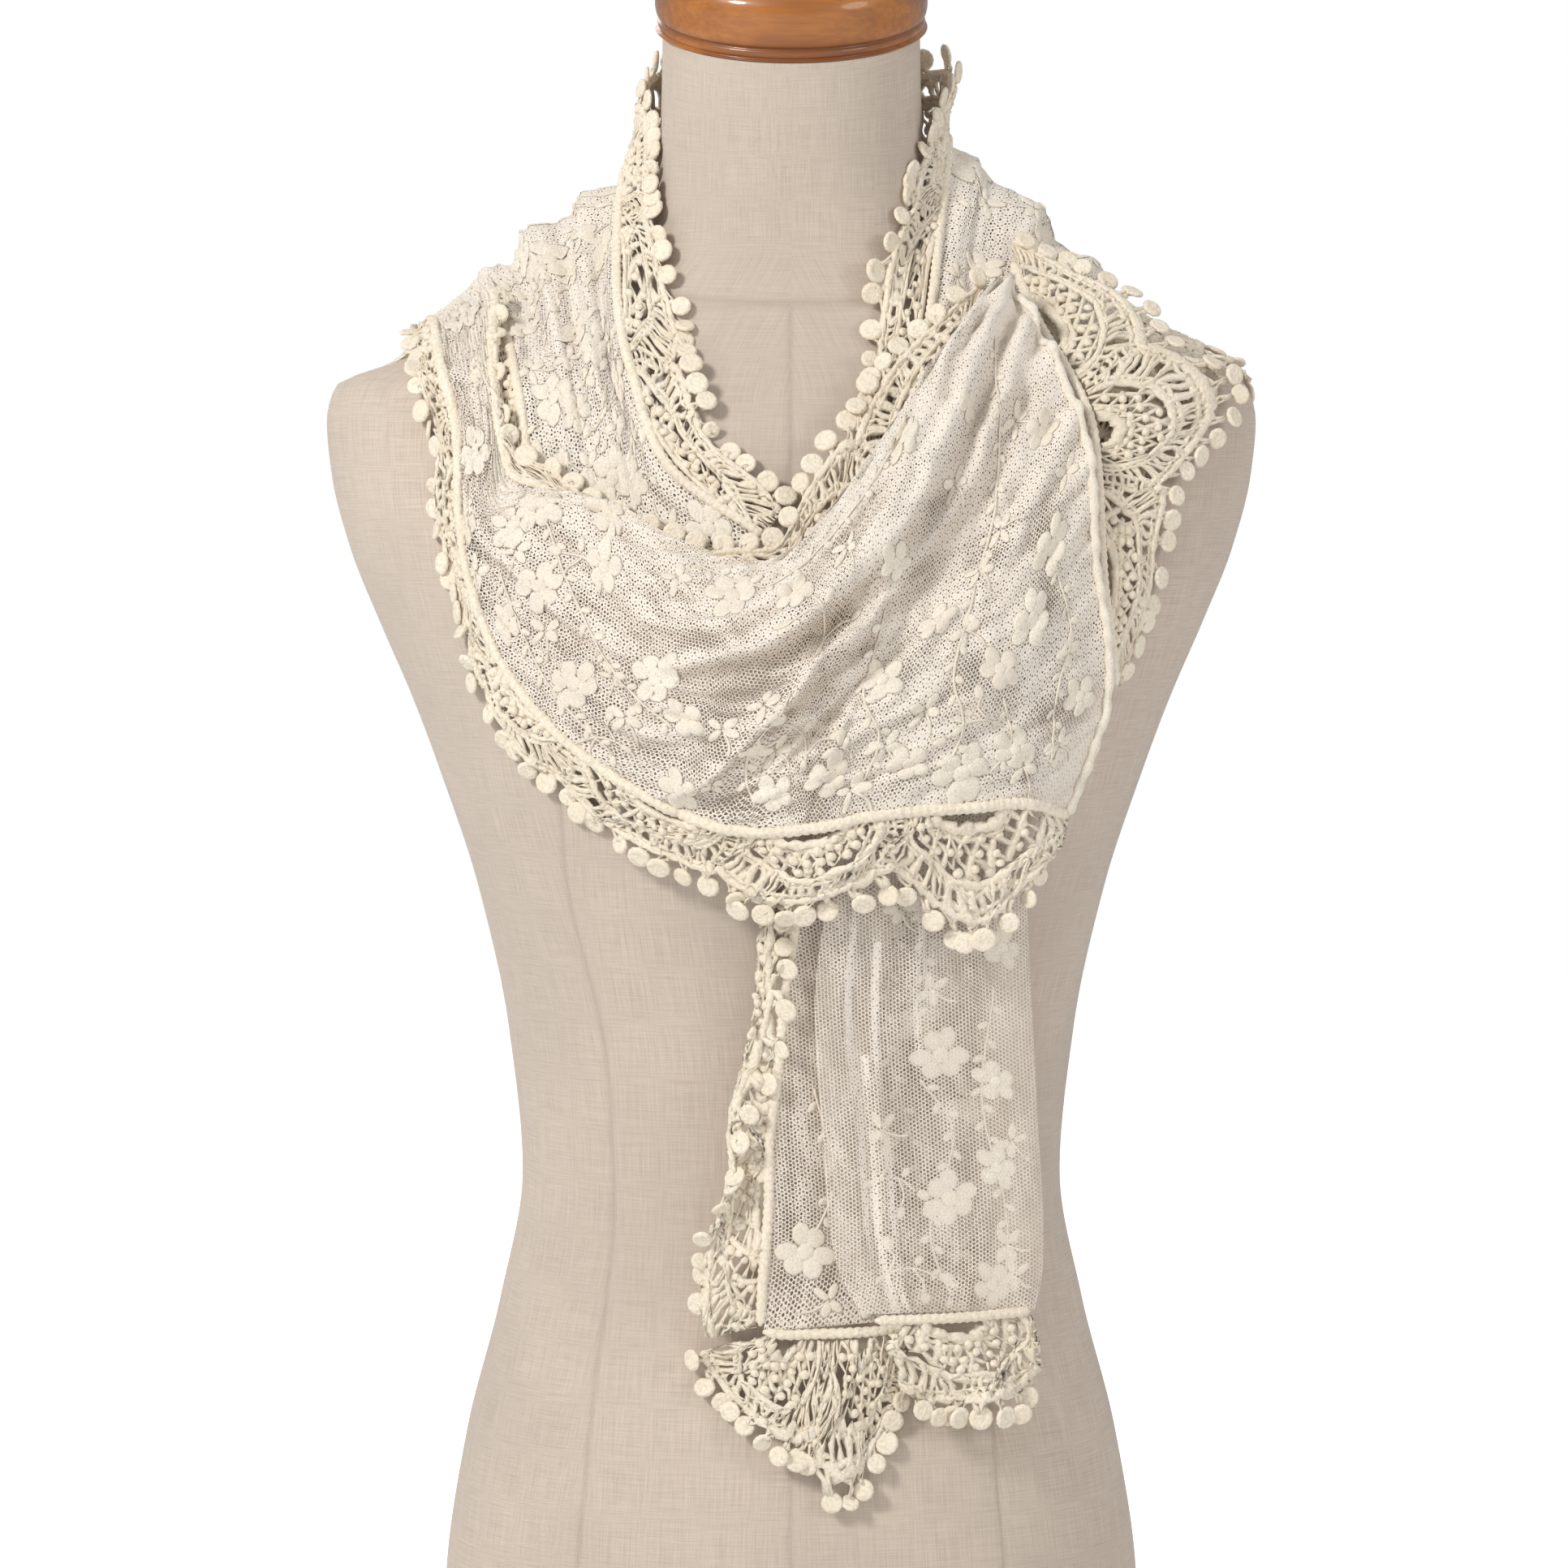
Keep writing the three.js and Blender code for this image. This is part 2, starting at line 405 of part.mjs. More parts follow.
function neckCap() {
  const profile = [
    [0, 0], [52, 0], [54.5, 1.2], [55, 3], [54.2, 4.6], [55.2, 6], [CAP_RADIUS, 12], [CAP_RADIUS, 20],
    [53, 25.5], [46, 29], [30, 32.5], [14, 33.7], [0, CAP_HEIGHT],
  ].map(([r, z]) => new THREE.Vector2(r, z));
  const mesh = new THREE.Mesh(new THREE.LatheGeometry(profile, 40), WOOD);
  mesh.name = "neck_cap";
  mesh.geometry.rotateX(Math.PI / 2);
  const holder = new THREE.Group();
  const middle = (backDepth(NECK_TOP) - frontDepth(NECK_TOP)) / 2;
  holder.position.set(0, middle, NECK_TOP + middle * NECK_TILT + PART_GAP / Math.cos(Math.atan(NECK_TILT)));
  holder.rotation.x = Math.atan(NECK_TILT);
  holder.add(mesh);
  return holder;
}

// ---------------------------------------------------------------- the whole part
const part = new THREE.Group();
part.add(baseBoard(), loft("form_torso", FORM_HEIGHTS.map(formRing), LINEN), neckCap());

function net(name, surface, [u0, u1, nu], [v0, v1, nv]) {
  const { places } = evenSteps(surface, u0, u1, (v0 + v1) / 2, nu);
  part.add(wall(name, surface, places, [v0, v1, nv], NET_WALL, NET));
}

// A trim runs across from v0 to v1. Its scalloped edge is at v1, and it is notched between every two scallops.
function trim(name, surface, [u0, u1], [v0, v1, nv], perScallop = 4) {
  const { whole } = evenSteps(surface, u0, u1, v1, 1);
  const scallops = Math.max(Math.round(whole / SCALLOP), 1);
  const { places } = evenSteps(surface, u0, u1, v1, scallops * perScallop);
  const reach = (i) => 1 - NOTCH * (1 - Math.abs(Math.sin(Math.PI * i / perScallop)) ** 0.7);
  part.add(wall(name, surface, places, [v0, v1, nv], TRIM_WALL, TRIM, reach));
}
// The neck-side trims count back from their seam, so their surface is given the other way round.
const turned = (surface, end) => (u, v) => surface(end - u, v);
const wrapBack = turned(wrap, WRAP_END);
const cowlBack = turned(cowl, COWL_END);

net("net_right_shoulder", wrap, [0, WRAP_RIGHT - STRETCH_GAP, 12], [1 + SEAM, 5 - SEAM, 10]);
net("net_back", wrap, [WRAP_RIGHT + STRETCH_GAP, WRAP_LEFT - STRETCH_GAP, 16], [1 + SEAM, 5 - SEAM, 10]);
net("net_left_shoulder", wrap, [WRAP_LEFT + STRETCH_GAP, WRAP_END, 16], [1 + SEAM, 5 - SEAM, 10]);
trim("trim_neck_right", wrapBack, [WRAP_END - WRAP_RIGHT + STRETCH_GAP, WRAP_END], [1 - SEAM, 0, 3]);
trim("trim_neck_back", wrapBack, [WRAP_END - WRAP_LEFT + STRETCH_GAP, WRAP_END - WRAP_RIGHT - STRETCH_GAP], [1 - SEAM, 0, 3], 5);
trim("trim_neck_left", wrapBack, [0, WRAP_END - WRAP_LEFT - STRETCH_GAP], [1 - SEAM, 0, 3]);
trim("trim_outer_right", wrap, [1.4, WRAP_RIGHT - STRETCH_GAP], [5 + 2 * SEAM, 6, 3]);
trim("trim_outer_back", wrap, [WRAP_RIGHT + STRETCH_GAP, WRAP_LEFT - STRETCH_GAP], [5 + SEAM, 6, 5], 5);
trim("trim_outer_left", wrap, [WRAP_LEFT + STRETCH_GAP, 15], [5 + SEAM, 6, 5], 5);
net("net_cowl", cowl, [0, COWL_END, 36], [1 + SEAM, 6 - 2 * SEAM, 18]);
trim("trim_cowl_top", cowlBack, [0, COWL_END - 1], [0.66, 0, 3]);
trim("trim_hem", cowl, [0, COWL_END], [6 + SEAM, 7, 4]);
trim("trim_panel_end", panelEnd, [0, PANEL_END.length - 1], [0, 2, 4], 6);
net("net_tail", tail, [0, TAIL_ROWS.length - 1, 9], [0, 11, 24]);
trim("trim_tail_side", tailSide, [0, TAIL_SIDE.length - 1], [0, 2, 5], 6);
trim("trim_tail_end_back", endBack, [0, TAIL_END_BACK.length - 1], [0, 2, 5], 8);
trim("trim_tail_end_front", endFront, [0, TAIL_END_FRONT.length - 1], [0, 2, 4], 8);

export default part;
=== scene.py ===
# %% [markdown]
# # A lace shawl on a dress form
# The shawl is a long strip of embroidered net with a scalloped crochet trim all round it. It is wound round the neck
# of a limbless dress form covered in linen. The solid model gives every piece its place and size. This script gives
# each piece the surface the real one has: threads, stitches, folds, weave and grain. All shapes are worked out in
# millimetres with numpy and turned into metres when a mesh is made.

# %% Load the solid model
import math
import bpy
import numpy as np
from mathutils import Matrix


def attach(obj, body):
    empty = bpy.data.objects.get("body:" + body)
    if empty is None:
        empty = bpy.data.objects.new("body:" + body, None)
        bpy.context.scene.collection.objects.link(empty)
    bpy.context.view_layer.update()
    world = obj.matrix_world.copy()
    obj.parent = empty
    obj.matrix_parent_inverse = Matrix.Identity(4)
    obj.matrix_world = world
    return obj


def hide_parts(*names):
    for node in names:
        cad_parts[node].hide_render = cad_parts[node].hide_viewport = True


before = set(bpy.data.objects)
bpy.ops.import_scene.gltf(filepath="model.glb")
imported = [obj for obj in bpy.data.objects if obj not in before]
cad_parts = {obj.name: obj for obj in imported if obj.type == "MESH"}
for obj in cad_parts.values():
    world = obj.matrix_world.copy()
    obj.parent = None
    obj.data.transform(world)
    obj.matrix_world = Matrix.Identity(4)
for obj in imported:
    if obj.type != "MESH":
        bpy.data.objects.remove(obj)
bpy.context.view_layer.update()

MM = 0.001

# %% [markdown]
# ## Two kinds of curve
# Cloth and form are both described by a few given places and a smooth curve through them. A monotone curve never
# swings past its points, so it suits the form's outline. A Catmull-Rom curve passes through its points with rounded
# corners, so it suits cloth.

# %% Curves
def monotone(xs, ys):
    """A smooth curve through the points (xs, ys). Each span is a cubic whose end slopes are harmonic means of the
    slopes on both sides, and zero at a turning point, so the curve never overshoots."""
    xs, ys = np.asarray(xs, float), np.asarray(ys, float)
    step = np.diff(xs)
    rise = np.diff(ys) / step
    slope = np.empty_like(ys)
    slope[0], slope[-1] = rise[0], rise[-1]
    before, after = 2 * step[1:] + step[:-1], step[1:] + 2 * step[:-1]
    same = rise[:-1] * rise[1:] > 0
    first, second = np.where(same, rise[:-1], 1), np.where(same, rise[1:], 1)
    slope[1:-1] = np.where(same, (before + after) / (before / first + after / second), 0)

    def curve(x):
        x = np.clip(x, xs[0], xs[-1])
        i = np.clip(np.searchsorted(xs, x, side="right") - 1, 0, len(xs) - 2)
        h = step[i]
        t = (x - xs[i]) / h
        return ((2 * t**3 - 3 * t**2 + 1) * ys[i] + (t**3 - 2 * t**2 + t) * h * slope[i]
                + (3 * t**2 - 2 * t**3) * ys[i + 1] + (t**3 - t**2) * h * slope[i + 1])
    return curve


def span_weights(q, last):
    """For places q on a row of points 0..last: the first of the four points that shape the curve there (counted in a
    row that has one more point before its start), and their four Catmull-Rom weights."""
    i = np.clip(np.floor(q).astype(int), 0, last - 1)
    t = q - i
    weights = np.stack([-t + 2 * t**2 - t**3, 2 - 5 * t**2 + 3 * t**3, t + 4 * t**2 - 3 * t**3, -t**2 + t**3], -1) / 2
    return i, weights


def with_ends(points, axis):
    """The points with one more before and after along an axis, each carried straight on."""
    first, second = np.take(points, [0], axis), np.take(points, [1], axis)
    last, other = np.take(points, [-1], axis), np.take(points, [-2], axis)
    return np.concatenate([2 * first - second, points, 2 * last - other], axis)


def through(points, q):
    """The Catmull-Rom curve through a row of points, at places q counted in points: the sum of the four nearest
    points by their weights."""
    points = np.array(points, float)
    i, weights = span_weights(q, len(points) - 1)
    return np.einsum("qk,qkc->qc", weights, with_ends(points, 0)[i[:, None] + np.arange(4)])


def unit(v):
    """Vectors divided by their lengths."""
    return v / (np.linalg.norm(v, axis=-1, keepdims=True) + 1e-9)


def run_along(line):
    """The length from the start of a line of points to each of them."""
    return np.concatenate([[0], np.cumsum(np.linalg.norm(np.diff(line, axis=0), axis=1))])


# %% [markdown]
# ## The form's surface
# The torso is a stack of superellipses: rounder than a box, fuller than an ellipse, as a padded form is. Its half
# width and its depths to front and back are monotone curves over the height. The same formula tells how far any point
# is from the form, which keeps every layer of cloth outside it.

# %% The form's sections
SECTION_POWER = 2.3
FORM_SECTIONS = np.array([
    (12, 148, 96, 117), (73, 145, 99, 119), (131, 136, 96, 110), (186, 122, 89, 91), (240, 112.5, 84, 77),
    (300, 118, 91, 84), (360, 130.5, 107, 92), (408, 146, 122, 98), (440, 158, 122, 101), (470, 171, 112, 103),
    (500, 183, 99, 102), (530, 190.5, 88, 98), (552, 192.5, 78, 90), (566, 189, 70, 82), (578, 159, 62, 74),
    (590, 122, 57, 68), (603, 88, 54, 64), (616, 68, 52, 60), (632, 59, 52, 56), (660, 55, 54, 52),
    (690, 53.5, 57, 48), (716, 53, 59, 46)])
half_width = monotone(FORM_SECTIONS[:, 0], FORM_SECTIONS[:, 1])
front_depth = monotone(FORM_SECTIONS[:, 0], FORM_SECTIONS[:, 2])
back_depth = monotone(FORM_SECTIONS[:, 0], FORM_SECTIONS[:, 3])


def outness(p):
    """How far out a point is, as a share of the form's section at its height: the power mean of |x| over the half
    width and |y| over the depth, less 1. It is 0 on the surface."""
    x, y, z = np.moveaxis(p, -1, 0)
    depth = np.where(y < 0, front_depth(z), back_depth(z))
    return ((np.abs(x / half_width(z)) ** SECTION_POWER + np.abs(y / depth) ** SECTION_POWER)
            ** (1 / SECTION_POWER) - 1)


def form_near(p):
    """The form's outward direction near each point, from the slope of outness, and the distance from the form, which
    is outness over that slope."""
    d = 0.5
    slope = np.stack([(outness(p + d * axis) - outness(p - d * axis)) / (2 * d) for axis in np.eye(3)], -1)
    steep = np.maximum(np.linalg.norm(slope, axis=-1, keepdims=True), 1e-6)
    return slope / steep, outness(p) / steep[..., 0]


SKIN_GAP, CORNER_GAP = 2.0, 4.2
SHOULDER_CORNER, CORNER_REACH = 568.0, 16.0


def bell(value, middle, width):
    """1 at the middle, falling on both sides: e to the power of minus (distance / width) squared."""
    return np.exp(-((value - middle) / width) ** 2)


def clear_of_form(p):
    """Points that are too near the form, moved straight out to the least gap. The gap is larger at the tight corner
    of the shoulder, where thick cloth can't follow."""
    for _ in range(4):
        out, distance = form_near(p)
        gap = SKIN_GAP + CORNER_GAP * bell(p[..., 2], SHOULDER_CORNER, CORNER_REACH)
        p = p + out * np.maximum(gap - distance, 0)[..., None]
    return p


def on(x, z, lift):
    """A point in front of the form at (x, z), lift millimetres off its surface."""
    share = min(abs(x) / float(half_width(z)), 0.98)
    depth = float(front_depth(z)) * (1 - share**SECTION_POWER) ** (1 / SECTION_POWER)
    return (x, -depth - lift, z)


print("form: shoulders", 2 * FORM_SECTIONS[:, 1].max(), "mm wide, waist", 2 * FORM_SECTIONS[:15, 1].min(), "mm wide")

# %% [markdown]
# ## Meshes from arrays
# Every new piece is a block of points worked out at once. These helpers number the faces of a grid, of a tube and of a
# domed disc, join many small shapes into one mesh, and hand the arrays to Blender.

# %% Mesh helpers
def grid_faces(rows, columns, wrap_columns=False):
    """The four-sided faces of a grid of points numbered row by row; wrap_columns joins the last column to the first."""
    i, j = np.meshgrid(np.arange(rows - 1), np.arange(columns - (0 if wrap_columns else 1)), indexing="ij")
    k = (j + 1) % columns
    return np.stack([i * columns + j, i * columns + k, (i + 1) * columns + k, (i + 1) * columns + j], -1).reshape(-1, 4)


def end_fans(rings, around):
    """The three-sided faces that close a stack of rings on the two points after them, one for each end."""
    k, last, start, end = np.arange(around), (rings - 1) * around, rings * around, rings * around + 1
    after = (k + 1) % around
    return np.concatenate([np.column_stack([np.full(around, start), after, k]),
                           np.column_stack([np.full(around, end), last + k, last + after])])


def in_scene(name, data):
    """A new object in the scene that shows a mesh, a light or a camera."""
    thing = bpy.data.objects.new(name, data)
    bpy.context.scene.collection.objects.link(thing)
    return thing


def make_piece(name, points, quads, finish, triangles=None, uv=None, values=None):
    """A smooth-shaded mesh object from points in millimetres. uv holds two numbers a point, or a face's corner, in
    millimetres of cloth. values is a dict of one number a point, kept as attributes for the finish to read."""
    mesh = bpy.data.meshes.new(name)
    faces = quads.tolist() + ([] if triangles is None else triangles.tolist())
    mesh.from_pydata((points * MM).tolist(), [], faces)
    corner = np.empty(len(mesh.loops), int)
    mesh.loops.foreach_get("vertex_index", corner)
    if uv is not None:
        placed = uv[corner] if len(uv) == len(points) else uv
        mesh.uv_layers.new(name="cloth").data.foreach_set("uv", placed.astype(np.float32).ravel())
    for key, numbers in (values or {}).items():
        mesh.attributes.new(key, "FLOAT", "POINT").data.foreach_set("value", numbers.astype(np.float32))
    mesh.shade_smooth()
    mesh.materials.append(finish)
    piece = in_scene(name, mesh)
    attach(piece, "root")
    print(f"{name}: {len(points)} points, {len(faces)} faces")
    return piece


def joined(shapes):
    """Many (points, quads, triangles) as one, with the faces renumbered."""
    starts = np.cumsum([0] + [len(s[0]) for s in shapes[:-1]])
    return (np.concatenate([s[0] for s in shapes]),
            np.concatenate([s[1] + k for s, k in zip(shapes, starts)]),
            np.concatenate([s[2] + k for s, k in zip(shapes, starts)]))


def copies(shape, placed):
    """One shape's faces, repeated for every block of points in placed (copies, points, 3)."""
    count, size = placed.shape[:2]
    shift = np.arange(count)[:, None, None] * size
    return placed.reshape(-1, 3), (shape[1] + shift).reshape(-1, 4), (shape[2] + shift).reshape(-1, 3)


def tube(path, side, up, wide, high, sides=6):
    """A closed cord along a path. Each section is an ellipse: side times wide times the cosine plus up times high
    times the sine. Each end closes on a middle point."""
    angle = np.arange(sides) * 2 * np.pi / sides
    wide, high = (np.broadcast_to(np.asarray(w, float), len(path))[:, None, None] for w in (wide, high))
    rings = path[:, None] + side[:, None] * wide * np.cos(angle)[:, None] + up[:, None] * high * np.sin(angle)[:, None]
    points = np.concatenate([rings.reshape(-1, 3), path[:1], path[-1:]])
    return points, grid_faces(len(path), sides, True)[:, ::-1], end_fans(len(path), sides)[:, ::-1]


def flat_cord(path, wide, high, sides=5):
    """A cord lying on the flat, along a path of (x, y): a tube whose sections stand across the path."""
    path = np.column_stack([np.asarray(path, float), np.zeros(len(path))])
    ahead = unit(np.gradient(path, axis=0))
    across = np.stack([-ahead[:, 1], ahead[:, 0], 0 * ahead[:, 0]], -1)
    return tube(path, across, np.tile([0.0, 0, 1], (len(path), 1)), wide, high, sides)


def flat_dome(centre, size, turn, high, around, profile):
    """A domed oval button on the flat: rings of an ellipse, each (share of its size, share of its height), on top and
    the same, half as high, below. The profile starts with its middle."""
    shares = profile[1:]
    angle = np.arange(around) * 2 * np.pi / around
    oval = np.stack([size[0] * np.cos(angle), size[1] * np.sin(angle)], -1)
    oval = oval @ np.array([[math.cos(turn), math.sin(turn)], [-math.sin(turn), math.cos(turn)]])
    ring = lambda share, z: np.column_stack([oval * share + centre, np.full(around, z)])
    stack = [ring(r, high * h) for r, h in shares] + [ring(r, -0.5 * high * h) for r, h in shares[-2::-1]]
    top, bottom = profile[0][1] * high, -0.5 * profile[0][1] * high
    points = np.concatenate(stack + [[[*centre, top], [*centre, bottom]]])
    return points, grid_faces(len(stack), around, True)[:, ::-1], end_fans(len(stack), around)[:, ::-1]


# %% [markdown]
# ## Cloth surfaces
# A length of cloth is a list of sections along it, each a row of points across it. The surface through them is a
# Catmull-Rom curve of Catmull-Rom curves. Creases are then added one by one: each is a soft ridge or trough along a
# path drawn on the cloth, standing off along the form's outward direction.

# %% Cloth surface
def cloth_surface(sections, creases=None):
    """A function of (u, v): u counts sections along the cloth and v counts points across it. The point is the sum of
    the sixteen nearest control points by their Catmull-Rom weights, raised by creases(u, v) away from the form, then
    pushed clear of the form."""
    table = with_ends(with_ends(np.array(sections, float), 0), 1)
    last_u, last_v = len(sections) - 1, len(sections[0]) - 1

    def surface(u, v):
        u, v = np.broadcast_arrays(np.asarray(u, float), np.asarray(v, float))
        i, wu = span_weights(u, last_u)
        j, wv = span_weights(v, last_v)
        p = sum((wu[..., a] * wv[..., b])[..., None] * table[i + a, j + b] for a in range(4) for b in range(4))
        if creases is not None:
            p = p + form_near(p)[0] * creases(u, v)[..., None]
        return clear_of_form(p)
    return surface


def uneven_bell(off, above, below):
    """A bell curve of a distance, with one width above the middle, where the distance is below 0, and one below."""
    return bell(off, 0, np.where(off > 0, below, above))


def roll(path, above, below, height):
    """A fold that lies over: height times an uneven bell of the distance across from the path, in points, faded to
    nothing at both ends by the root of a sine. It is wide on its upper side and narrow on its lower side, so that it
    drops steeply below and throws a shadow there."""
    us, vs = np.array(path, float).T
    course = monotone(us, vs)

    def rise(u, v):
        share = np.clip((u - us[0]) / (us[-1] - us[0]), 0, 1)
        return height * np.sqrt(np.abs(np.sin(np.pi * share))) * uneven_bell(v - course(u), above, below)
    return rise


def crease(path, width, height):
    """A ridge, or a trough where height is below 0: a roll that is as wide above its path as below it."""
    return roll(path, width, width, height)


def together(*rises):
    """The sum of several creases."""
    return lambda u, v: sum(rise(u, v) for rise in rises)


def ripple(height, along, across, lean=0.0):
    """Small soft waves: height times the product of a sine along the cloth and a sine across it, whose phases wander
    slowly so that no two waves are alike."""
    def rise(u, v):
        a = 2 * np.pi * (along * u + lean * v) + 1.3 * np.sin(1.7 * v + 0.6 * u)
        b = 2 * np.pi * across * v + 1.1 * np.sin(2.3 * u + 0.4 * v)
        return height * np.sin(a) * np.cos(b)
    return rise


# %% [markdown]
# ## Charts
# Lace and embroidery are drawn flat and then laid on a cloth surface. A chart is a fine grid of places on one stretch
# of cloth, evenly spaced along it, with the outward normal at each. Flat drawings are laid by reading the chart.

# %% Charts
def even_places(surface, start, end, v, count):
    """Places along a surface at v, evenly spaced by length, and the whole length."""
    fine = np.linspace(start, end, 600)
    lengths = run_along(surface(fine, v))
    return np.interp(np.linspace(0, lengths[-1], count), lengths, fine), lengths[-1]


class Chart:
    """A stretch of a cloth surface from u0 to u1 and v0 to v1 as a grid of points and outward normals. Places on it
    are shares along and across, from 0 to 1, and are read by linear interpolation."""

    def __init__(self, surface, us, vs, even_at, size=(420, 48)):
        self.u_places, self.length = even_places(surface, *us, even_at, size[0])
        self.v_places = np.linspace(*vs, size[1])
        self.grid = surface(self.u_places[:, None], self.v_places[None])
        along, across = np.gradient(self.grid, axis=0), np.gradient(self.grid, axis=1)
        normal = unit(np.cross(along, across))
        self.flip = np.sum(normal * form_near(self.grid)[0]) < 0
        self.normal = -normal if self.flip else normal
        self.scale = [np.linalg.norm(g, axis=-1) * (n - 1) for g, n in ((along, size[0]), (across, size[1]))]
        self.along = unit(along)

    def read(self, field, a, b):
        """A field of the grid at shares a and b: the four values round each place, weighted by nearness."""
        rows, columns = self.grid.shape[:2]
        a, b = np.clip(a, 0, 1) * (rows - 1), np.clip(b, 0, 1) * (columns - 1)
        i, j = np.minimum(a.astype(int), rows - 2), np.minimum(b.astype(int), columns - 2)
        s, t = a - i, b - j
        if field.ndim == 3:
            s, t = s[..., None], t[..., None]
        return ((field[i, j] * (1 - t) + field[i, j + 1] * t) * (1 - s)
                + (field[i + 1, j] * (1 - t) + field[i + 1, j + 1] * t) * s)

    def lay(self, a, b, height):
        """The point at shares a and b, height millimetres out from the cloth."""
        return self.read(self.grid, a, b) + self.read(self.normal, a, b) * np.asarray(height)[..., None]

    def draw(self, a, b, flat):
        """A flat drawing (points, 3) in millimetres, laid round each of the places (a, b) so that it follows the
        cloth: its shares are the place's plus its millimetres over the cloth's size there."""
        a, b = np.atleast_1d(a)[:, None], np.atleast_1d(b)[:, None]
        side = -1 if self.flip else 1
        x, y = flat[..., 0], side * flat[..., 1]
        return self.lay(a + x / self.read(self.scale[0], a, b), b + y / self.read(self.scale[1], a, b), flat[..., 2])

    def stand(self, a, b, flat, tilt):
        """Stiff copies of a small flat shape, each standing on the cloth at one of the places (a, b): its x runs along
        the cloth, and its y across. tilt holds two slopes a copy."""
        centre, out, ahead = (self.read(field, a, b)[:, None] for field in (self.grid, self.normal, self.along))
        out = unit(out + ahead * tilt[:, None, :1] + np.cross(out, ahead) * tilt[:, None, 1:])
        ahead = ahead - out * np.sum(ahead * out, axis=-1, keepdims=True)
        beside = np.cross(out, ahead)
        return centre + ahead * flat[..., :1] + beside * flat[..., 1:2] + out * flat[..., 2:]


# %% [markdown]
# ## Shared finishes
# Effects that several materials need are shader node groups, built once. They read millimetres of cloth from the
# piece's own map, or metres from Object coordinates. "fibres" gives the fine fuzz and colour change of cotton yarn,
# "hexagons" gives the openings of machine net, "weave" gives linen's yarns. Each could be an image instead, but nodes
# stay sharp however near the eye comes, and their scale is a number in millimetres.

# %% Node helpers
def new_group(name, inputs, outputs):
    """An empty shader node group with float, vector or colour sockets, given as (name, kind, value)."""
    group = bpy.data.node_groups.new(name, "ShaderNodeTree")
    kinds = {"number": "NodeSocketFloat", "vector": "NodeSocketVector", "colour": "NodeSocketColor"}
    for side, sockets in (("INPUT", inputs), ("OUTPUT", outputs)):
        for label, kind, *value in sockets:
            socket = group.interface.new_socket(label, in_out=side, socket_type=kinds[kind])
            if value:
                socket.default_value = value[0]
    return group, group.nodes.new("NodeGroupInput"), group.nodes.new("NodeGroupOutput")


def put(tree, kind, links=(), **settings):
    """A node of a kind in a tree. links sets or joins its inputs, as (input, value or output socket) pairs."""
    node = tree.nodes.new("ShaderNode" + kind)
    for key, value in settings.items():
        setattr(node, key, value)
    for key, value in links:
        if isinstance(value, bpy.types.NodeSocket):
            tree.links.new(value, node.inputs[key])
        else:
            node.inputs[key].default_value = value
    return node


def use(tree, group, *links):
    """A group placed in a material, with its inputs."""
    return put(tree, "Group", links, node_tree=group)


def value_of(tree, attribute):
    """A number that a piece keeps at each point, by its name."""
    return put(tree, "Attribute", attribute_name=attribute).outputs["Fac"]


def sums(tree, operation, a, b=0.0, c=0.0):
    """Arithmetic on numbers."""
    return put(tree, "Math", ((0, a), (1, b), (2, c)), operation=operation).outputs[0]


def vectors(tree, operation, *values, output=0):
    """Arithmetic on vectors."""
    return put(tree, "VectorMath", tuple(enumerate(values)), operation=operation).outputs[output]


def between(tree, value, low, high, to_low=0.0, to_high=1.0):
    """A number carried from one range to another with soft ends."""
    return put(tree, "MapRange", ((0, value), (1, low), (2, high), (3, to_low), (4, to_high)),
               interpolation_type="SMOOTHSTEP").outputs[0]


def blend(tree, factor, a, b):
    """A colour that goes from a to b as the factor goes from 0 to 1."""
    a, b = (c if isinstance(c, bpy.types.NodeSocket) else (*c, 1) for c in (a, b))
    return put(tree, "Mix", ((0, factor), (6, a), (7, b)), data_type="RGBA").outputs[2]


def noise(tree, vector, scale=1.0, detail=2.0, rough=0.5):
    """Cloudy noise about 0.5, scale bumps to a unit of the vector, with finer bumps added detail times."""
    return put(tree, "TexNoise", (("Vector", vector), ("Scale", scale), ("Detail", detail),
                                  ("Roughness", rough))).outputs["Fac"]


def new_finish(name, roughness=0.85, **settings):
    """A material with one Principled BSDF, its constant numbers set on its own sockets."""
    material = bpy.data.materials.new(name)
    material.use_nodes = True
    shader = next(n for n in material.node_tree.nodes if n.type == "BSDF_PRINCIPLED")
    shader.inputs["Roughness"].default_value = roughness
    for key, value in settings.items():
        shader.inputs[key.replace("_", " ").title().replace("Ior", "IOR")].default_value = value
    return material, material.node_tree, shader


def bump(tree, shader, height, strength, distance):
    """Relief seen in the light only: a height of 1 stands the distance out, in metres."""
    node = put(tree, "Bump", (("Height", height), ("Strength", strength), ("Distance", distance)))
    tree.links.new(node.outputs[0], shader.inputs["Normal"])


# %% Group: fibres
def fibres_group():
    """Tone is slow noise, for yarn that is paler in places. Height is fine noise plus rounded cells, for the loops and
    loose fibres of the yarn. Both read the vector in metres."""
    group, given, out = new_group("fibres", [("Vector", "vector"), ("Loop Scale", "number", 900.0)],
                                  [("Tone", "number"), ("Height", "number")])
    vector = given.outputs["Vector"]
    slow = noise(group, vector, 28.0, 3.0, 0.6)
    fine = noise(group, vector, 2600.0, 2.0, 0.6)
    cells = put(group, "TexVoronoi", (("Vector", vector), ("Scale", given.outputs["Loop Scale"])),
                feature="SMOOTH_F1").outputs["Distance"]
    group.links.new(between(group, slow, 0.3, 0.7), out.inputs["Tone"])
    rounded = sums(group, "SUBTRACT", 1.0, cells)
    group.links.new(sums(group, "MULTIPLY_ADD", fine, 0.35, rounded), out.inputs["Height"])
    return group


fibres = fibres_group()


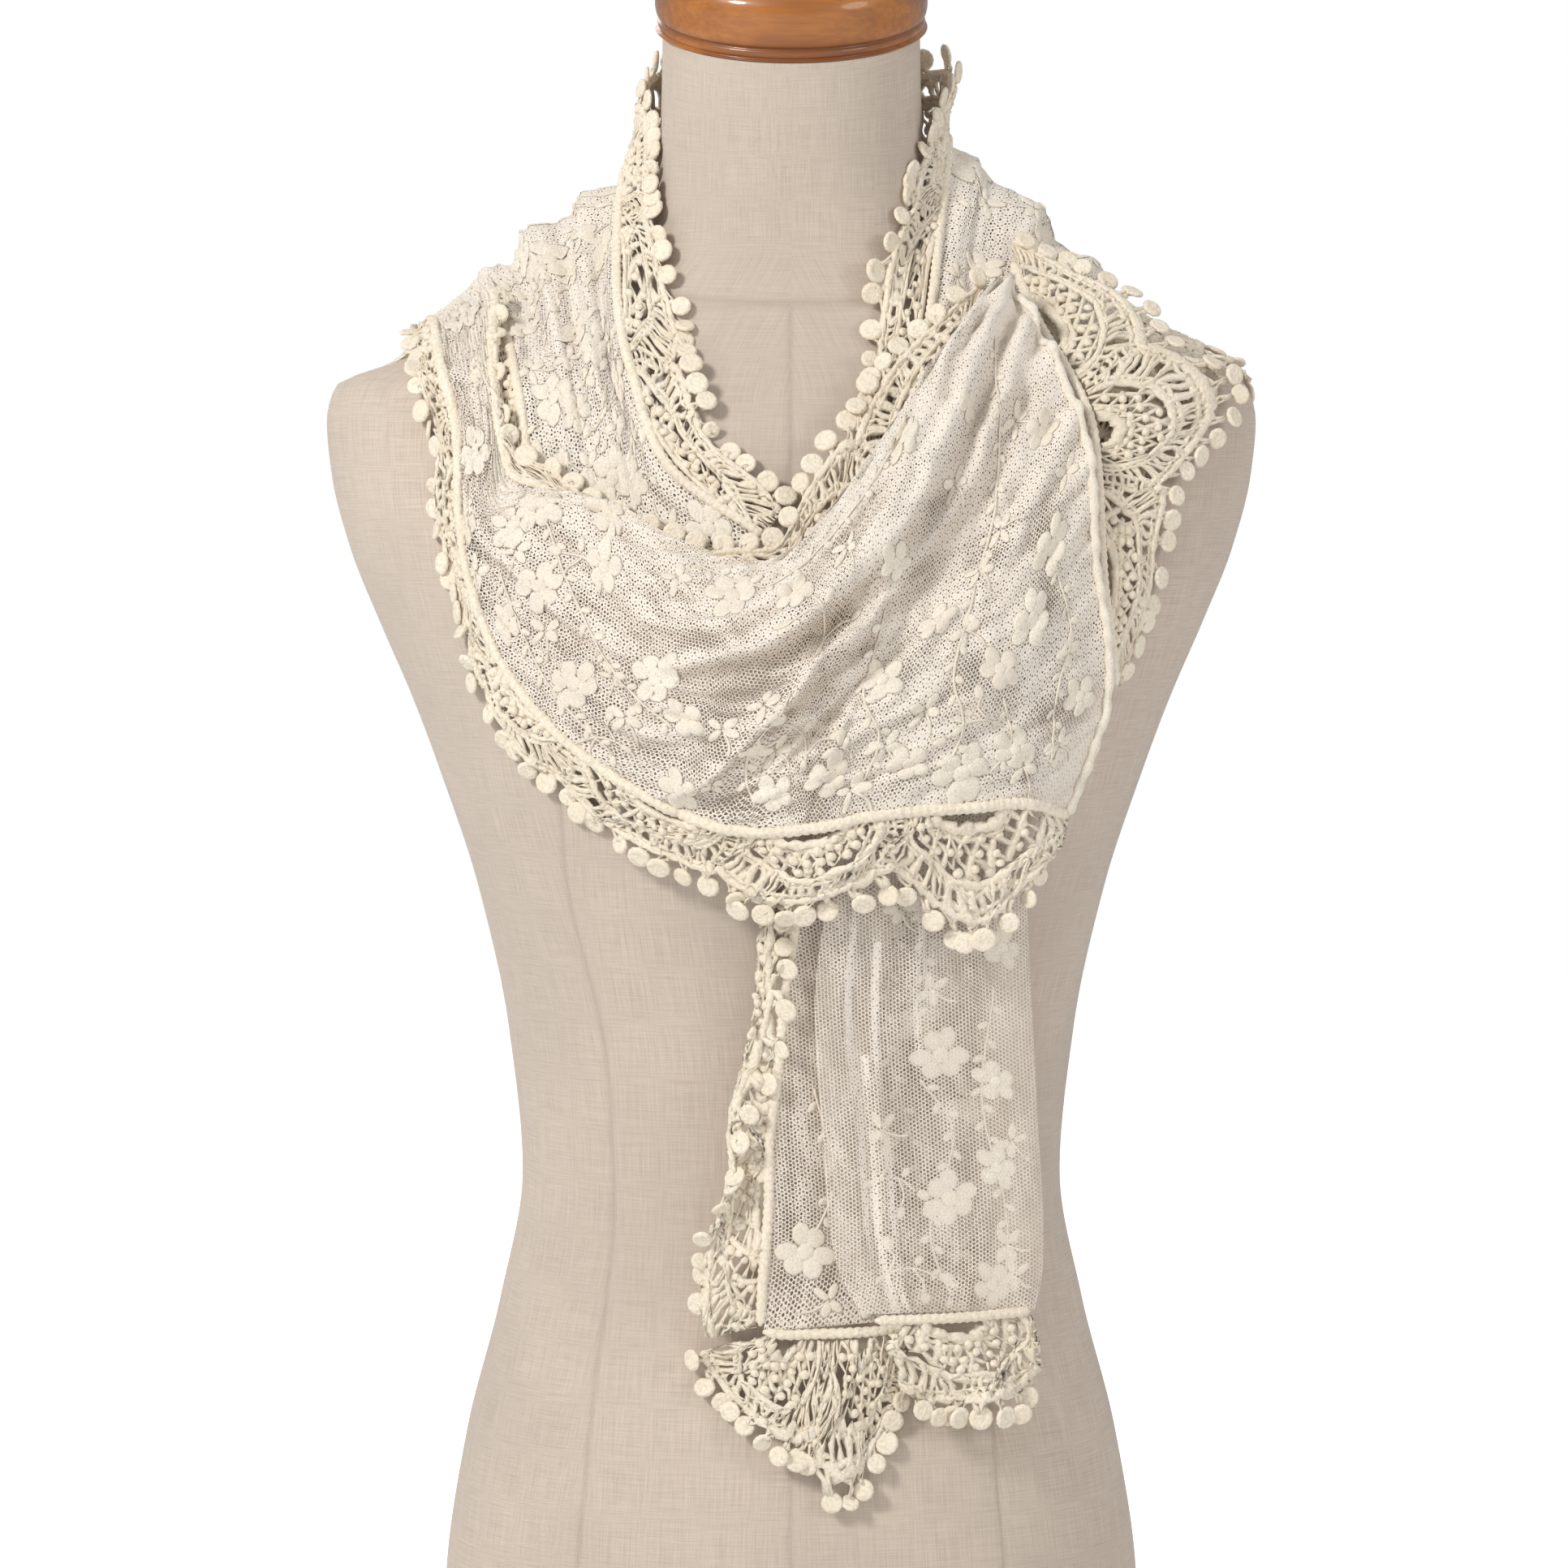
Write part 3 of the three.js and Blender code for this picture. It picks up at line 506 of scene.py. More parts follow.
# %% Group: hexagons
def hexagons_group():
    """Machine net. Two lattices of rectangles, 1 by root 3, give the nearest cell centre; the hexagon's distance from
    it is the greater of |x| and |x|/2 + 0.866|y|, 0.5 on the cell's edge. Cover is 1 within half a thread of the edge.
    Fullness widens the thread, because gathered net lies over itself."""
    group, given, out = new_group(
        "hexagons", [("Vector", "vector"), ("Pitch", "number", 1.65), ("Thread", "number", 0.2),
                     ("Fullness", "number", 0.0)], [("Cover", "number"), ("Height", "number")])
    share = vectors(group, "DIVIDE", given.outputs["Vector"],
                    put(group, "CombineXYZ", ((0, given.outputs["Pitch"]), (1, given.outputs["Pitch"]),
                                              (2, 1.0))).outputs[0])
    half, minus = (0.5, math.sqrt(3) / 2, 1.0), (-0.5, -math.sqrt(3) / 2, -1.0)
    moved = vectors(group, "ADD", share, (0.5, math.sqrt(3) / 2, 0))
    first, second = (vectors(group, "ABSOLUTE", vectors(group, "WRAP", at, half, minus)) for at in (share, moved))

    def hexagon(cell):
        flat = vectors(group, "MULTIPLY", cell, (1, 1, 0))
        across = put(group, "SeparateXYZ", ((0, flat),)).outputs[0]
        return sums(group, "MAXIMUM", across, vectors(group, "DOT_PRODUCT", flat, (0.5, math.sqrt(3) / 2, 0), output=1))

    distance = sums(group, "MINIMUM", hexagon(first), hexagon(second))
    thread = sums(group, "MULTIPLY_ADD", given.outputs["Fullness"], 0.34, given.outputs["Thread"])
    edge = sums(group, "SUBTRACT", 0.5, thread)
    cover = between(group, distance, sums(group, "SUBTRACT", edge, 0.035), edge)
    group.links.new(cover, out.inputs["Cover"])
    group.links.new(sums(group, "MULTIPLY", cover, distance), out.inputs["Height"])
    return group


hexagons = hexagons_group()


# %% Group: weave
def weave_group():
    """Plain linen. Warp and weft are sines of the map's two directions; slubs are noise drawn out long along each
    yarn. Tone is the mean of both slubs, Height is the weave's sines multiplied, plus the slubs."""
    group, given, out = new_group("weave", [("Vector", "vector"), ("Yarns", "number", 1.6)],
                                  [("Tone", "number"), ("Height", "number")])
    vector = given.outputs["Vector"]
    long_u, long_v = (noise(group, vectors(group, "MULTIPLY", vector, stretch), 1.0, 3.0, 0.7)
                      for stretch in ((0.045, 2.2, 1), (2.2, 0.045, 1)))
    parts = put(group, "SeparateXYZ", ((0, vector),))
    turn = sums(group, "MULTIPLY", given.outputs["Yarns"], 2 * math.pi)
    waves = [sums(group, "SINE", sums(group, "MULTIPLY", parts.outputs[k], turn)) for k in (0, 1)]
    woven = sums(group, "MULTIPLY", waves[0], waves[1])
    tone = sums(group, "MULTIPLY", sums(group, "ADD", long_u, long_v), 0.5)
    group.links.new(between(group, tone, 0.34, 0.62), out.inputs["Tone"])
    group.links.new(sums(group, "MULTIPLY_ADD", woven, 0.25, sums(group, "MULTIPLY", tone, 1.5)), out.inputs["Height"])
    return group


weave = weave_group()
print("node groups:", [group.name for group in (fibres, hexagons, weave)])

# %% [markdown]
# ## The linen's finish
# The cover is warm greige linen with darker slubs, a little darker in places and along its seams. Its map holds
# millimetres of cloth, so the yarns run up and round each panel as they do in a cut one.

# %% Finish: linen
def linen_finish():
    """Linen between a dark and a pale tone by its slubs, darkened in slow patches and where the attribute seam is
    high."""
    material, tree, shader = new_finish("linen cover", 0.9, sheen_weight=0.15, sheen_roughness=0.6)
    woven = use(tree, weave, ("Vector", put(tree, "UVMap", uv_map="cloth").outputs[0]))
    spots = noise(tree, put(tree, "TexCoord").outputs["Object"], 9.0, 2.0, 0.5)
    cloth = blend(tree, woven.outputs["Tone"], (0.500, 0.415, 0.338), (0.690, 0.585, 0.488))
    cloth = blend(tree, between(tree, spots, 0.35, 0.65, 0.0, 0.35), cloth, (0.47, 0.405, 0.34))
    cloth = blend(tree, sums(tree, "MULTIPLY", value_of(tree, "seam"), 0.3), cloth, (0.36, 0.30, 0.245))
    tree.links.new(cloth, shader.inputs["Base Color"])
    bump(tree, shader, woven.outputs["Height"], 0.35, 0.0004)
    return material


linen = linen_finish()

# %% [markdown]
# ## The yarn's finish
# The lace is thick cream cotton yarn, and the flowers are a finer yarn in satin stitch. One function makes both, since
# they differ only in tone and in the size of their loops.

# %% Finish: cotton yarn
def yarn_finish(name, dark, pale, loops, depth):
    """Cotton yarn between a dark and a pale tone. The attribute tone, set on each stitched shape, shifts it a
    little, so that neighbouring shapes differ. Painted shade darkens the yarn where its height is low, in the
    hollows between its loops."""
    material, tree, shader = new_finish(name, 0.88, sheen_weight=0.25, sheen_roughness=0.5)
    place = put(tree, "TexCoord").outputs["Object"]
    yarn = use(tree, fibres, ("Vector", place), ("Loop Scale", loops))
    mixed = sums(tree, "MULTIPLY_ADD", yarn.outputs["Tone"], 0.6,
                 sums(tree, "MULTIPLY", value_of(tree, "tone"), 0.4))
    colour = blend(tree, mixed, dark, pale)
    # Painted shade: where the yarn's height is low, in the hollows between loops, the colour goes to 0.88 of the dark
    # tone.
    painted_hollow_shade = between(tree, yarn.outputs["Height"], 0.35, 0.95)
    colour = blend(tree, painted_hollow_shade, [c * 0.88 for c in dark], colour)
    tree.links.new(colour, shader.inputs["Base Color"])
    bump(tree, shader, yarn.outputs["Height"], 0.8, depth)
    return material


lace_yarn = yarn_finish("crochet yarn", (0.88, 0.77, 0.605), (0.965, 0.885, 0.75), 850.0, 0.0005)
satin_yarn = yarn_finish("satin stitch yarn", (0.83, 0.745, 0.62), (0.935, 0.865, 0.75), 1500.0, 0.0003)

# %% [markdown]
# ## The net's finish
# The net's thread is whiter and so thin that the linen shows through it. Some eighty thousand real openings would make
# too heavy a mesh, so the finish cuts them: it is clear in each opening and covers at the threads.

# %% Finish: net
PITCH, THREAD = ("Pitch", 1.65), ("Thread", 0.07)


def net_finish():
    """Net from the map's hexagons, wider where the attribute fullness is high, and paler there as a painted highlight
    on the crests of the folds. The attribute fold_shade is painted shadow: it darkens the cloth just under each fold.
    Where the net is full, a second layer shows under the first, turned a little, and the colour is darkened a
    little as painted shade, most where an opening of the first layer shows the second. Crinkle is noise drawn out
    along the cloth."""
    material, tree, shader = new_finish("net", 0.8, sheen_weight=0.2, sheen_roughness=0.5)
    place = put(tree, "UVMap", uv_map="cloth").outputs[0]

    def drawn_out(stretch, detail, rough):
        return noise(tree, vectors(tree, "MULTIPLY", place, stretch), 1.0, detail, rough)

    uneven = sums(tree, "ADD", value_of(tree, "fullness"),
                  between(tree, drawn_out((0.02, 0.09, 1), 2.0, 0.6), 0.3, 0.7, -0.12, 0.12))
    uneven = sums(tree, "ADD", uneven, between(tree, drawn_out((0.07, 0.16, 1), 3.0, 0.6), 0.35, 0.65, -0.10, 0.10))
    upper = use(tree, hexagons, ("Vector", place), PITCH, THREAD, ("Fullness", sums(tree, "MULTIPLY", uneven, 0.55)))
    aslant = put(tree, "Mapping", (("Vector", place), ("Rotation", (0.0, 0.0, 0.45)), ("Location", (0.7, 0.3, 0.0))))
    lower = use(tree, hexagons, ("Vector", aslant.outputs[0]), PITCH, THREAD,
                ("Fullness", between(tree, uneven, 0.12, 0.95, -0.2, 0.6)))
    cover = sums(tree, "MAXIMUM", upper.outputs["Cover"], lower.outputs["Cover"])
    # Painted highlight: the net is paler where it is fuller, which brightens the crests of its folds and creases.
    colour = blend(tree, uneven, (0.86, 0.775, 0.67), (0.935, 0.865, 0.77))
    # Painted shade: the colour is darkened a little towards brown, most where an opening of the upper layer shows the
    # second layer.
    under = blend(tree, 0.08, colour, (0.5, 0.41, 0.33))
    colour = blend(tree, sums(tree, "MULTIPLY", upper.outputs["Cover"], 0.35), under, colour)
    # Painted shadow: fold_shade darkens the net just under the lower edge of each fold.
    colour = blend(tree, value_of(tree, "fold_shade"), colour, (0.56, 0.455, 0.355))
    tree.links.new(colour, shader.inputs["Base Color"])
    tree.links.new(cover, shader.inputs["Alpha"])
    threads = sums(tree, "ADD", upper.outputs["Height"], lower.outputs["Height"])
    bump(tree, shader, sums(tree, "MULTIPLY_ADD", drawn_out((0.16, 0.42, 1), 4.0, 0.65), 2.0, threads), 0.4, 0.0006)
    return material


net_thread = net_finish()

# %% [markdown]
# ## The wood's finish
# The cap is varnished wood with an amber glow, with painted shade in the groove above its lip. Its grain is drawn in
# the object's own metres, so it runs through the turned shape as it does in a solid block.

# %% Finish: varnished wood
def wood_finish():
    """Figure is noise drawn out along x, and fine grain the same with closer lines, which also roughens and raises the
    surface. A clear coat gives the varnish. Painted shade darkens the groove above the cap's bottom edge, by a
    number each point carries."""
    material, tree, shader = new_finish("varnished wood", 0.38, coat_weight=0.5, coat_roughness=0.08)
    place = put(tree, "TexCoord").outputs["Object"]
    figure = noise(tree, vectors(tree, "MULTIPLY", place, (4.0, 30.0, 42.0)), 1.0, 4.0, 0.6)
    fine = noise(tree, vectors(tree, "MULTIPLY", place, (30.0, 420.0, 520.0)), 1.0, 3.0, 0.6)
    colour = blend(tree, between(tree, figure, 0.3, 0.7), (0.24, 0.068, 0.010), (0.50, 0.180, 0.030))
    colour = blend(tree, between(tree, fine, 0.35, 0.65, 0.0, 0.35), colour, (0.22, 0.075, 0.02))
    # Painted shade: the groove above the lip is darkened by the number each point carries.
    colour = blend(tree, sums(tree, "MULTIPLY", value_of(tree, "groove_shade"), 0.7), colour, (0.16, 0.05, 0.015))
    tree.links.new(colour, shader.inputs["Base Color"])
    tree.links.new(between(tree, fine, 0.3, 0.7, 0.3, 0.46), shader.inputs["Roughness"])
    bump(tree, shader, fine, 0.15, 0.0002)
    return material


wood = wood_finish()
print("finishes:", [m.name for m in (linen, lace_yarn, satin_yarn, net_thread, wood)])

# %% [markdown]
# ## The form's linen cover
# The cover is cut in long panels that meet at the centre front, at a princess seam on each side of it, at the sides
# and at matching seams behind, with a separate piece round the neck. Each seam pulls its edges in, so it is modelled
# as a fine groove. A cut into the mesh would do it too, but columns of points that crowd towards the seams keep the
# grooves sharp and soft-edged without a heavy mesh.

# %% Linen cover
BOARD_TOP, NECK_TOP, NECK_TILT_FROM, NECK_TILT = 12.3, 716.0, 628.0, math.tan(math.radians(20))
NECK_SEAM, NECK_SEAM_DROP = 622, 23
GROOVE_DEPTH, GROOVE_WIDTH = 0.55, 1.3
PANELS, PANEL_COLUMNS, BODY_ROWS, NECK_ROWS = 8, 22, 150, 34
PANEL_SHIFT = 300


def form_point(angle, z, inset=0.0):
    """A point on the form: x is half the width times the cosine to the power 2/2.3, y is the depth times the sine to
    the same power. The neck's top is tilted down to the front, and inset moves the point in."""
    power = 2 / SECTION_POWER
    cos, sin = np.cos(angle), np.sin(angle)
    x = (half_width(z) - inset) * np.sign(cos) * np.abs(cos) ** power
    depth = np.where(sin < 0, front_depth(z), back_depth(z)) - inset
    y = depth * np.sign(sin) * np.abs(sin) ** power
    return np.stack([x, y, z + y * np.clip((z - NECK_TILT_FROM) / (NECK_TOP - NECK_TILT_FROM), 0, 1) * NECK_TILT], -1)


def crowded(count):
    """Shares from 0 to 1 that crowd towards both ends: t less a sine wave."""
    t = np.linspace(0, 1, count + 1)
    return t - 0.9 * np.sin(2 * np.pi * t) / (2 * np.pi)


def seam_angle(z, front_x):
    """The angle at which a seam in front stands front_x(z) from the middle."""
    share = np.clip(front_x(z) / half_width(z), 0, 0.98) ** (SECTION_POWER / 2)
    return np.arccos(share)


princess_x = monotone([12, 73, 152, 237, 288, 373, 460, 560, 620], [92, 88, 81, 72, 74, 90, 92, 84, 34])


def linen_cover():
    """Rows run up the form, columns round it. The seams' angles are set at each height and columns lie between them.
    Each groove is a bell curve of the distance from its seam. The map counts millimetres round from each panel's
    middle, plus a shift a panel, and millimetres up."""
    neck_seam = lambda angle: NECK_SEAM + NECK_SEAM_DROP * np.sin(angle)
    shares = np.concatenate([np.linspace(0, 1, BODY_ROWS), 1 + crowded(NECK_ROWS)[1:]])[:, None]
    height_of = lambda angle: np.where(
        shares <= 1, BOARD_TOP + (neck_seam(angle) - BOARD_TOP) * shares,
        neck_seam(angle) + (NECK_TOP - neck_seam(angle)) * (shares - 1))
    rough_z = height_of(np.full((1, 1), -np.pi / 2))[:, 0]
    front = seam_angle(rough_z, princess_x)
    back = seam_angle(rough_z, lambda z: princess_x(z) * 0.95)
    quarter = np.full_like(rough_z, np.pi / 2)
    seams = [-quarter, -front, 0 * front, back, quarter, np.pi - back, 0 * back + np.pi, np.pi + front, 3 * quarter]
    columns = [a[:, None] + (b - a)[:, None] * crowded(PANEL_COLUMNS)[None, :-1] for a, b in zip(seams, seams[1:])]
    angle = np.concatenate(columns, 1)
    z = height_of(angle)
    points = form_point(angle, z)
    run = np.linalg.norm(np.diff(np.concatenate([points, points[:, :1]], 1), axis=1), axis=2)
    arc_length = np.concatenate([np.zeros((len(z), 1)), np.cumsum(run, 1)[:, :-1]], 1)
    dip = np.zeros_like(z)
    whole = np.concatenate([arc_length, arc_length[:, -1:] + run[:, -1:]], 1)
    for k in range(PANELS):
        gap = np.abs(arc_length - arc_length[:, [k * PANEL_COLUMNS]])
        gap = np.minimum(gap, whole[:, -1:] - gap)
        dip = np.maximum(dip, bell(gap, 0, GROOVE_WIDTH) * (z < neck_seam(angle) - 0.5))
    dip = np.maximum(dip, bell(z, neck_seam(angle), GROOVE_WIDTH))
    points = form_point(angle, z, dip * GROOVE_DEPTH)
    rows, around = z.shape
    quads = grid_faces(rows, around, True)
    row, column = quads // around, quads[:, :1] % around + np.array([0, 1, 1, 0])
    panel = column[:, :1] // PANEL_COLUMNS
    middle = whole[row, panel * PANEL_COLUMNS + PANEL_COLUMNS // 2]
    uv = np.stack([whole[row, column] - middle + PANEL_SHIFT * panel, z[row, quads % around]], -1)
    flat = np.concatenate([points.reshape(-1, 3), [points[0].mean(0)], [points[-1].mean(0)]])
    ends = end_fans(rows, around)
    return make_piece("linen_cover", flat, quads, linen, ends,
                      np.concatenate([uv.reshape(-1, 2), np.zeros((ends.size, 2))]),
                      {"seam": np.append(dip.ravel(), [0, 0])})


cover = linen_cover()
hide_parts("form_torso")

# %% [markdown]
# ## The wooden cap and the base board
# The cap is turned: a profile spun round the neck's tilted axis, with a lip, a groove above it and a domed top. A
# Screw modifier would spin it too, but points worked out at once can carry the number for the painted shade in its
# groove. The base board repeats the form's lowest section a little smaller, with rounded edges.

# %% Cap and board
CAP_PROFILE = [(0, 0), (52, 0), (54.3, 0.9), (55, 2.6), (54.9, 3.8), (54.2, 4.7), (54.5, 5.4), (55.3, 6.4), (55.9, 9),
               (56, 12), (56, 18), (55.6, 21), (54.4, 23.8), (51.6, 26.6), (46.5, 29), (39, 31), (30, 32.5),
               (20, 33.5), (9, 33.9), (0, 34)]
CAP_RADIUS, CAP_HEIGHT, CAP_GAP = 56, 34, 0.3
CAP_AROUND, PROFILE_STEPS = 112, 4
LIP_GROOVE, GROOVE_SHADE_WIDTH = 4.9, 1.3
BOARD_AROUND, BOARD_HEIGHT, BOARD_INSET, BOARD_EDGE = 180, 12, 5, 2.5
BOARD_MIDDLE = 10


def closed_stack(name, rings, ends, groove_shade):
    """A wooden piece from its rings (rows, around, 3) and the two points that close it."""
    rows, around, _ = rings.shape
    return make_piece(name, np.concatenate([rings.reshape(-1, 3), ends]), grid_faces(rows, around, True), wood,
                      end_fans(rows, around), values={"groove_shade": np.append(groove_shade, [0, 0])})


def turned_cap():
    """The profile, rounded by a Catmull-Rom curve, spun round the z axis, tilted 20 degrees about x and set on the
    neck's top."""
    last = len(CAP_PROFILE) - 1
    curve = np.clip(through(CAP_PROFILE, np.linspace(0, last, last * PROFILE_STEPS + 1))[1:-1],
                    (0.5, 0), (CAP_RADIUS, CAP_HEIGHT))
    angle = np.arange(CAP_AROUND) * 2 * np.pi / CAP_AROUND
    x, y = curve[:, :1] * np.cos(angle), curve[:, :1] * np.sin(angle)
    z = np.broadcast_to(curve[:, 1:], x.shape)
    middle = (float(back_depth(NECK_TOP)) - float(front_depth(NECK_TOP))) / 2
    tilt = math.atan(NECK_TILT)
    cos, sin = math.cos(tilt), math.sin(tilt)
    turn = np.array([[1, 0, 0], [0, cos, -sin], [0, sin, cos]])
    seat = np.array([0, middle, NECK_TOP + middle * NECK_TILT + CAP_GAP / cos])
    ends = np.array([[0, 0, 0], [0, 0, CAP_HEIGHT]])
    # The last number paints shade in the groove above the lip: a bell of the height round it.
    return closed_stack("turned_neck_cap", np.stack([x, y, z], -1) @ turn.T + seat, ends @ turn.T + seat,
                        bell(z, LIP_GROOVE, GROOVE_SHADE_WIDTH).ravel())


def board():
    """The form's lowest ring at eleven heights, drawn in at the top and bottom edges as a quarter circle would."""
    height = np.array([0, 0.25, 0.8, 1.7, 3, 6, 9, 10.3, 11.2, 11.75, BOARD_HEIGHT])
    edge = np.clip(np.minimum(height, BOARD_HEIGHT - height) / BOARD_EDGE, 0, 1)
    inset = BOARD_INSET + BOARD_EDGE * (1 - np.sqrt(1 - (1 - edge) ** 2))
    ring = form_point(np.arange(BOARD_AROUND) * 2 * np.pi / BOARD_AROUND, np.full(BOARD_AROUND, BOARD_TOP))
    x = ring[None, :, 0] * (1 - inset[:, None] / float(half_width(0)))
    y = ring[None, :, 1] * (1 - inset[:, None] / float(front_depth(0)))
    z = np.broadcast_to(height[:, None], x.shape)
    return closed_stack("wooden_base", np.stack([x, y, z], -1),
                        [[0, BOARD_MIDDLE, 0], [0, BOARD_MIDDLE, BOARD_HEIGHT]], np.zeros(x.size))


cap = turned_cap()
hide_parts("neck_cap")
base = board()
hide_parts("base_board")


# %% [markdown]
# ## The first winding
# The strip is laid over the wearer's right chest, goes up round the neck and over both shoulders, and comes down in
# front to where the second winding crosses it. It is described by seventeen sections from its start to its end. Each
# section has the edge of the neck-side trim, its seam, three points of net, the outer seam and the outer trim's edge.
# Simulated cloth would find folds of its own; sections given one by one put each one where the real shawl has it.

# %% First winding
WRAP = [
    [on(3, 524, 3), on(-11, 506, 5), on(-22, 494, 5), on(-37, 490, 5), on(-51, 494, 5), on(-66, 497, 5),
     on(-79, 500, 5)],
    [on(-27, 545, 3), on(-49, 534, 5), on(-56, 518, 6), on(-66, 510, 6), on(-76, 506, 6), on(-87, 508, 5),
     on(-98, 511, 4)],
    [on(-30, 572, 3), on(-64, 571, 6), on(-69, 553, 8), on(-78, 541, 8), on(-90, 534, 8),
     on(-103, 530, 5), on(-116, 530, 3)],
    [on(-43, 600, 3), on(-70, 598, 10), on(-77, 583, 13), on(-85, 574, 13), on(-96, 570, 11),
     on(-110, 566, 7), on(-125, 561, 3)],
    [(-49, -46, 616), (-71, -24, 630), (-82, -26, 618), (-93, -27, 611), (-105, -27, 603),
     (-119, -26, 594.5), (-134, -27, 585)],
    [(-58, 4, 702), (-68, 4, 658), (-81, 6, 647), (-99, 6, 635), (-116, 6, 623), (-132, 6, 607),
     (-151, 10, 590)],
    [(-47, 31, 710), (-60, 40, 657), (-76, 52, 633), (-96, 61, 612), (-118, 66, 590), (-139, 68, 560),
     (-158, 62, 510)],
    [(-27, 48, 714), (-35, 61, 657), (-43, 79, 625), (-56, 92, 592), (-73, 99, 552), (-90, 104, 505),
     (-103, 103, 447)],
    [(0, 53, 716), (0, 68, 657), (0, 86, 622), (0, 99, 584), (0, 108, 540), (0, 114, 489), (0, 112, 427)],
    [(27, 48, 714), (36, 61, 657), (45, 79, 625), (59, 92, 592), (77, 99, 552), (95, 104, 505),
     (110, 102, 449)],
    [(48, 31, 710), (61, 39, 659), (78, 52, 634), (100, 61, 612), (126, 66, 588), (151, 66, 560),
     (180, 54, 517)],
    [(69, 3, 703), (65, 3, 668), (82, 5, 656), (103, 5, 637), (124, 5, 617), (146, 4, 595), (186, 2, 574)],
    [(34, -54, 621), (61, -24, 634), (77, -27, 621), (93, -29, 611), (112, -29, 601), (131, -26, 588),
     (169, -38, 556)],
    [on(30, 590, 3), on(54, 584, 5), on(67, 574, 6), on(84, 567, 6), on(101, 559, 5), on(117, 547, 4),
     on(140, 521, 3)],
    [on(21, 538, 4), on(38, 529, 5.5), on(53, 522, 6), on(69, 516, 6), on(84, 509, 5), on(97, 500, 4),
     on(109, 489, 3)],
    [on(8, 475, 9), on(24, 469, 7), on(40, 465, 5), on(56, 462, 5), on(72, 459, 5), on(86, 456, 4),
     on(96, 449, 3)],
    [(-6, -126, 391.8), (8.5, -124, 391.8), (28, -119.6, 391.8), (48, -115.7, 391.8), (68, -111.8, 391.8),
     (86.8, -108.2, 391.8), (94, -106, 391.8)],
]
WRAP_RIGHT, WRAP_BACK, WRAP_LEFT, WRAP_END = 5, 8, 11, 16


def wrap_pleats(u, v):
    """Lengthwise pleats: a sine across the net, highest where the net goes over a shoulder, flat at the seams."""
    bulk = 3.6 * bell(u, WRAP_RIGHT, 2.2) + 2.2 * bell(u, WRAP_BACK, 2.5) + 3.0 * bell(u, WRAP_LEFT, 1.6)
    return bulk * np.clip((v - 1) * (5 - v), 0, 1) * np.sin(np.pi * 1.5 * (v - 1) + 0.5 * u)


def wrap_wrinkles(u, v):
    """Finer pleats beside the main ones, and a slow waver along the cloth, both flat at the seams."""
    inside = np.clip((v - 1) * (5 - v), 0, 1)
    fine = 0.9 * np.sin(2 * np.pi * 2.6 * v + 1.4 * np.sin(0.9 * u)) + 0.5 * np.sin(2 * np.pi * 4.7 * v - 1.9 * u)
    return inside * (fine * (0.35 + 0.65 * bell(u, 6, 3.5)) + 0.5 * np.sin(5.3 * u + 2.0 * v))


wrap = cloth_surface(WRAP, together(wrap_pleats, wrap_wrinkles))
print("first winding:", len(WRAP), "sections")

# %% [markdown]
# ## The second winding
# The strip goes on round the neck and crosses the chest as a deep cowl: its upper edge folds over, its large folds
# run out from the gathers on the wearer's left shoulder, and its panel ends there. The folds are drawn as
# ridges and troughs in the same units as the sections. Each of COWL_ROLLS is a path, its width above and below in
# points, its height in millimetres, and how much denser the net is on its crest.

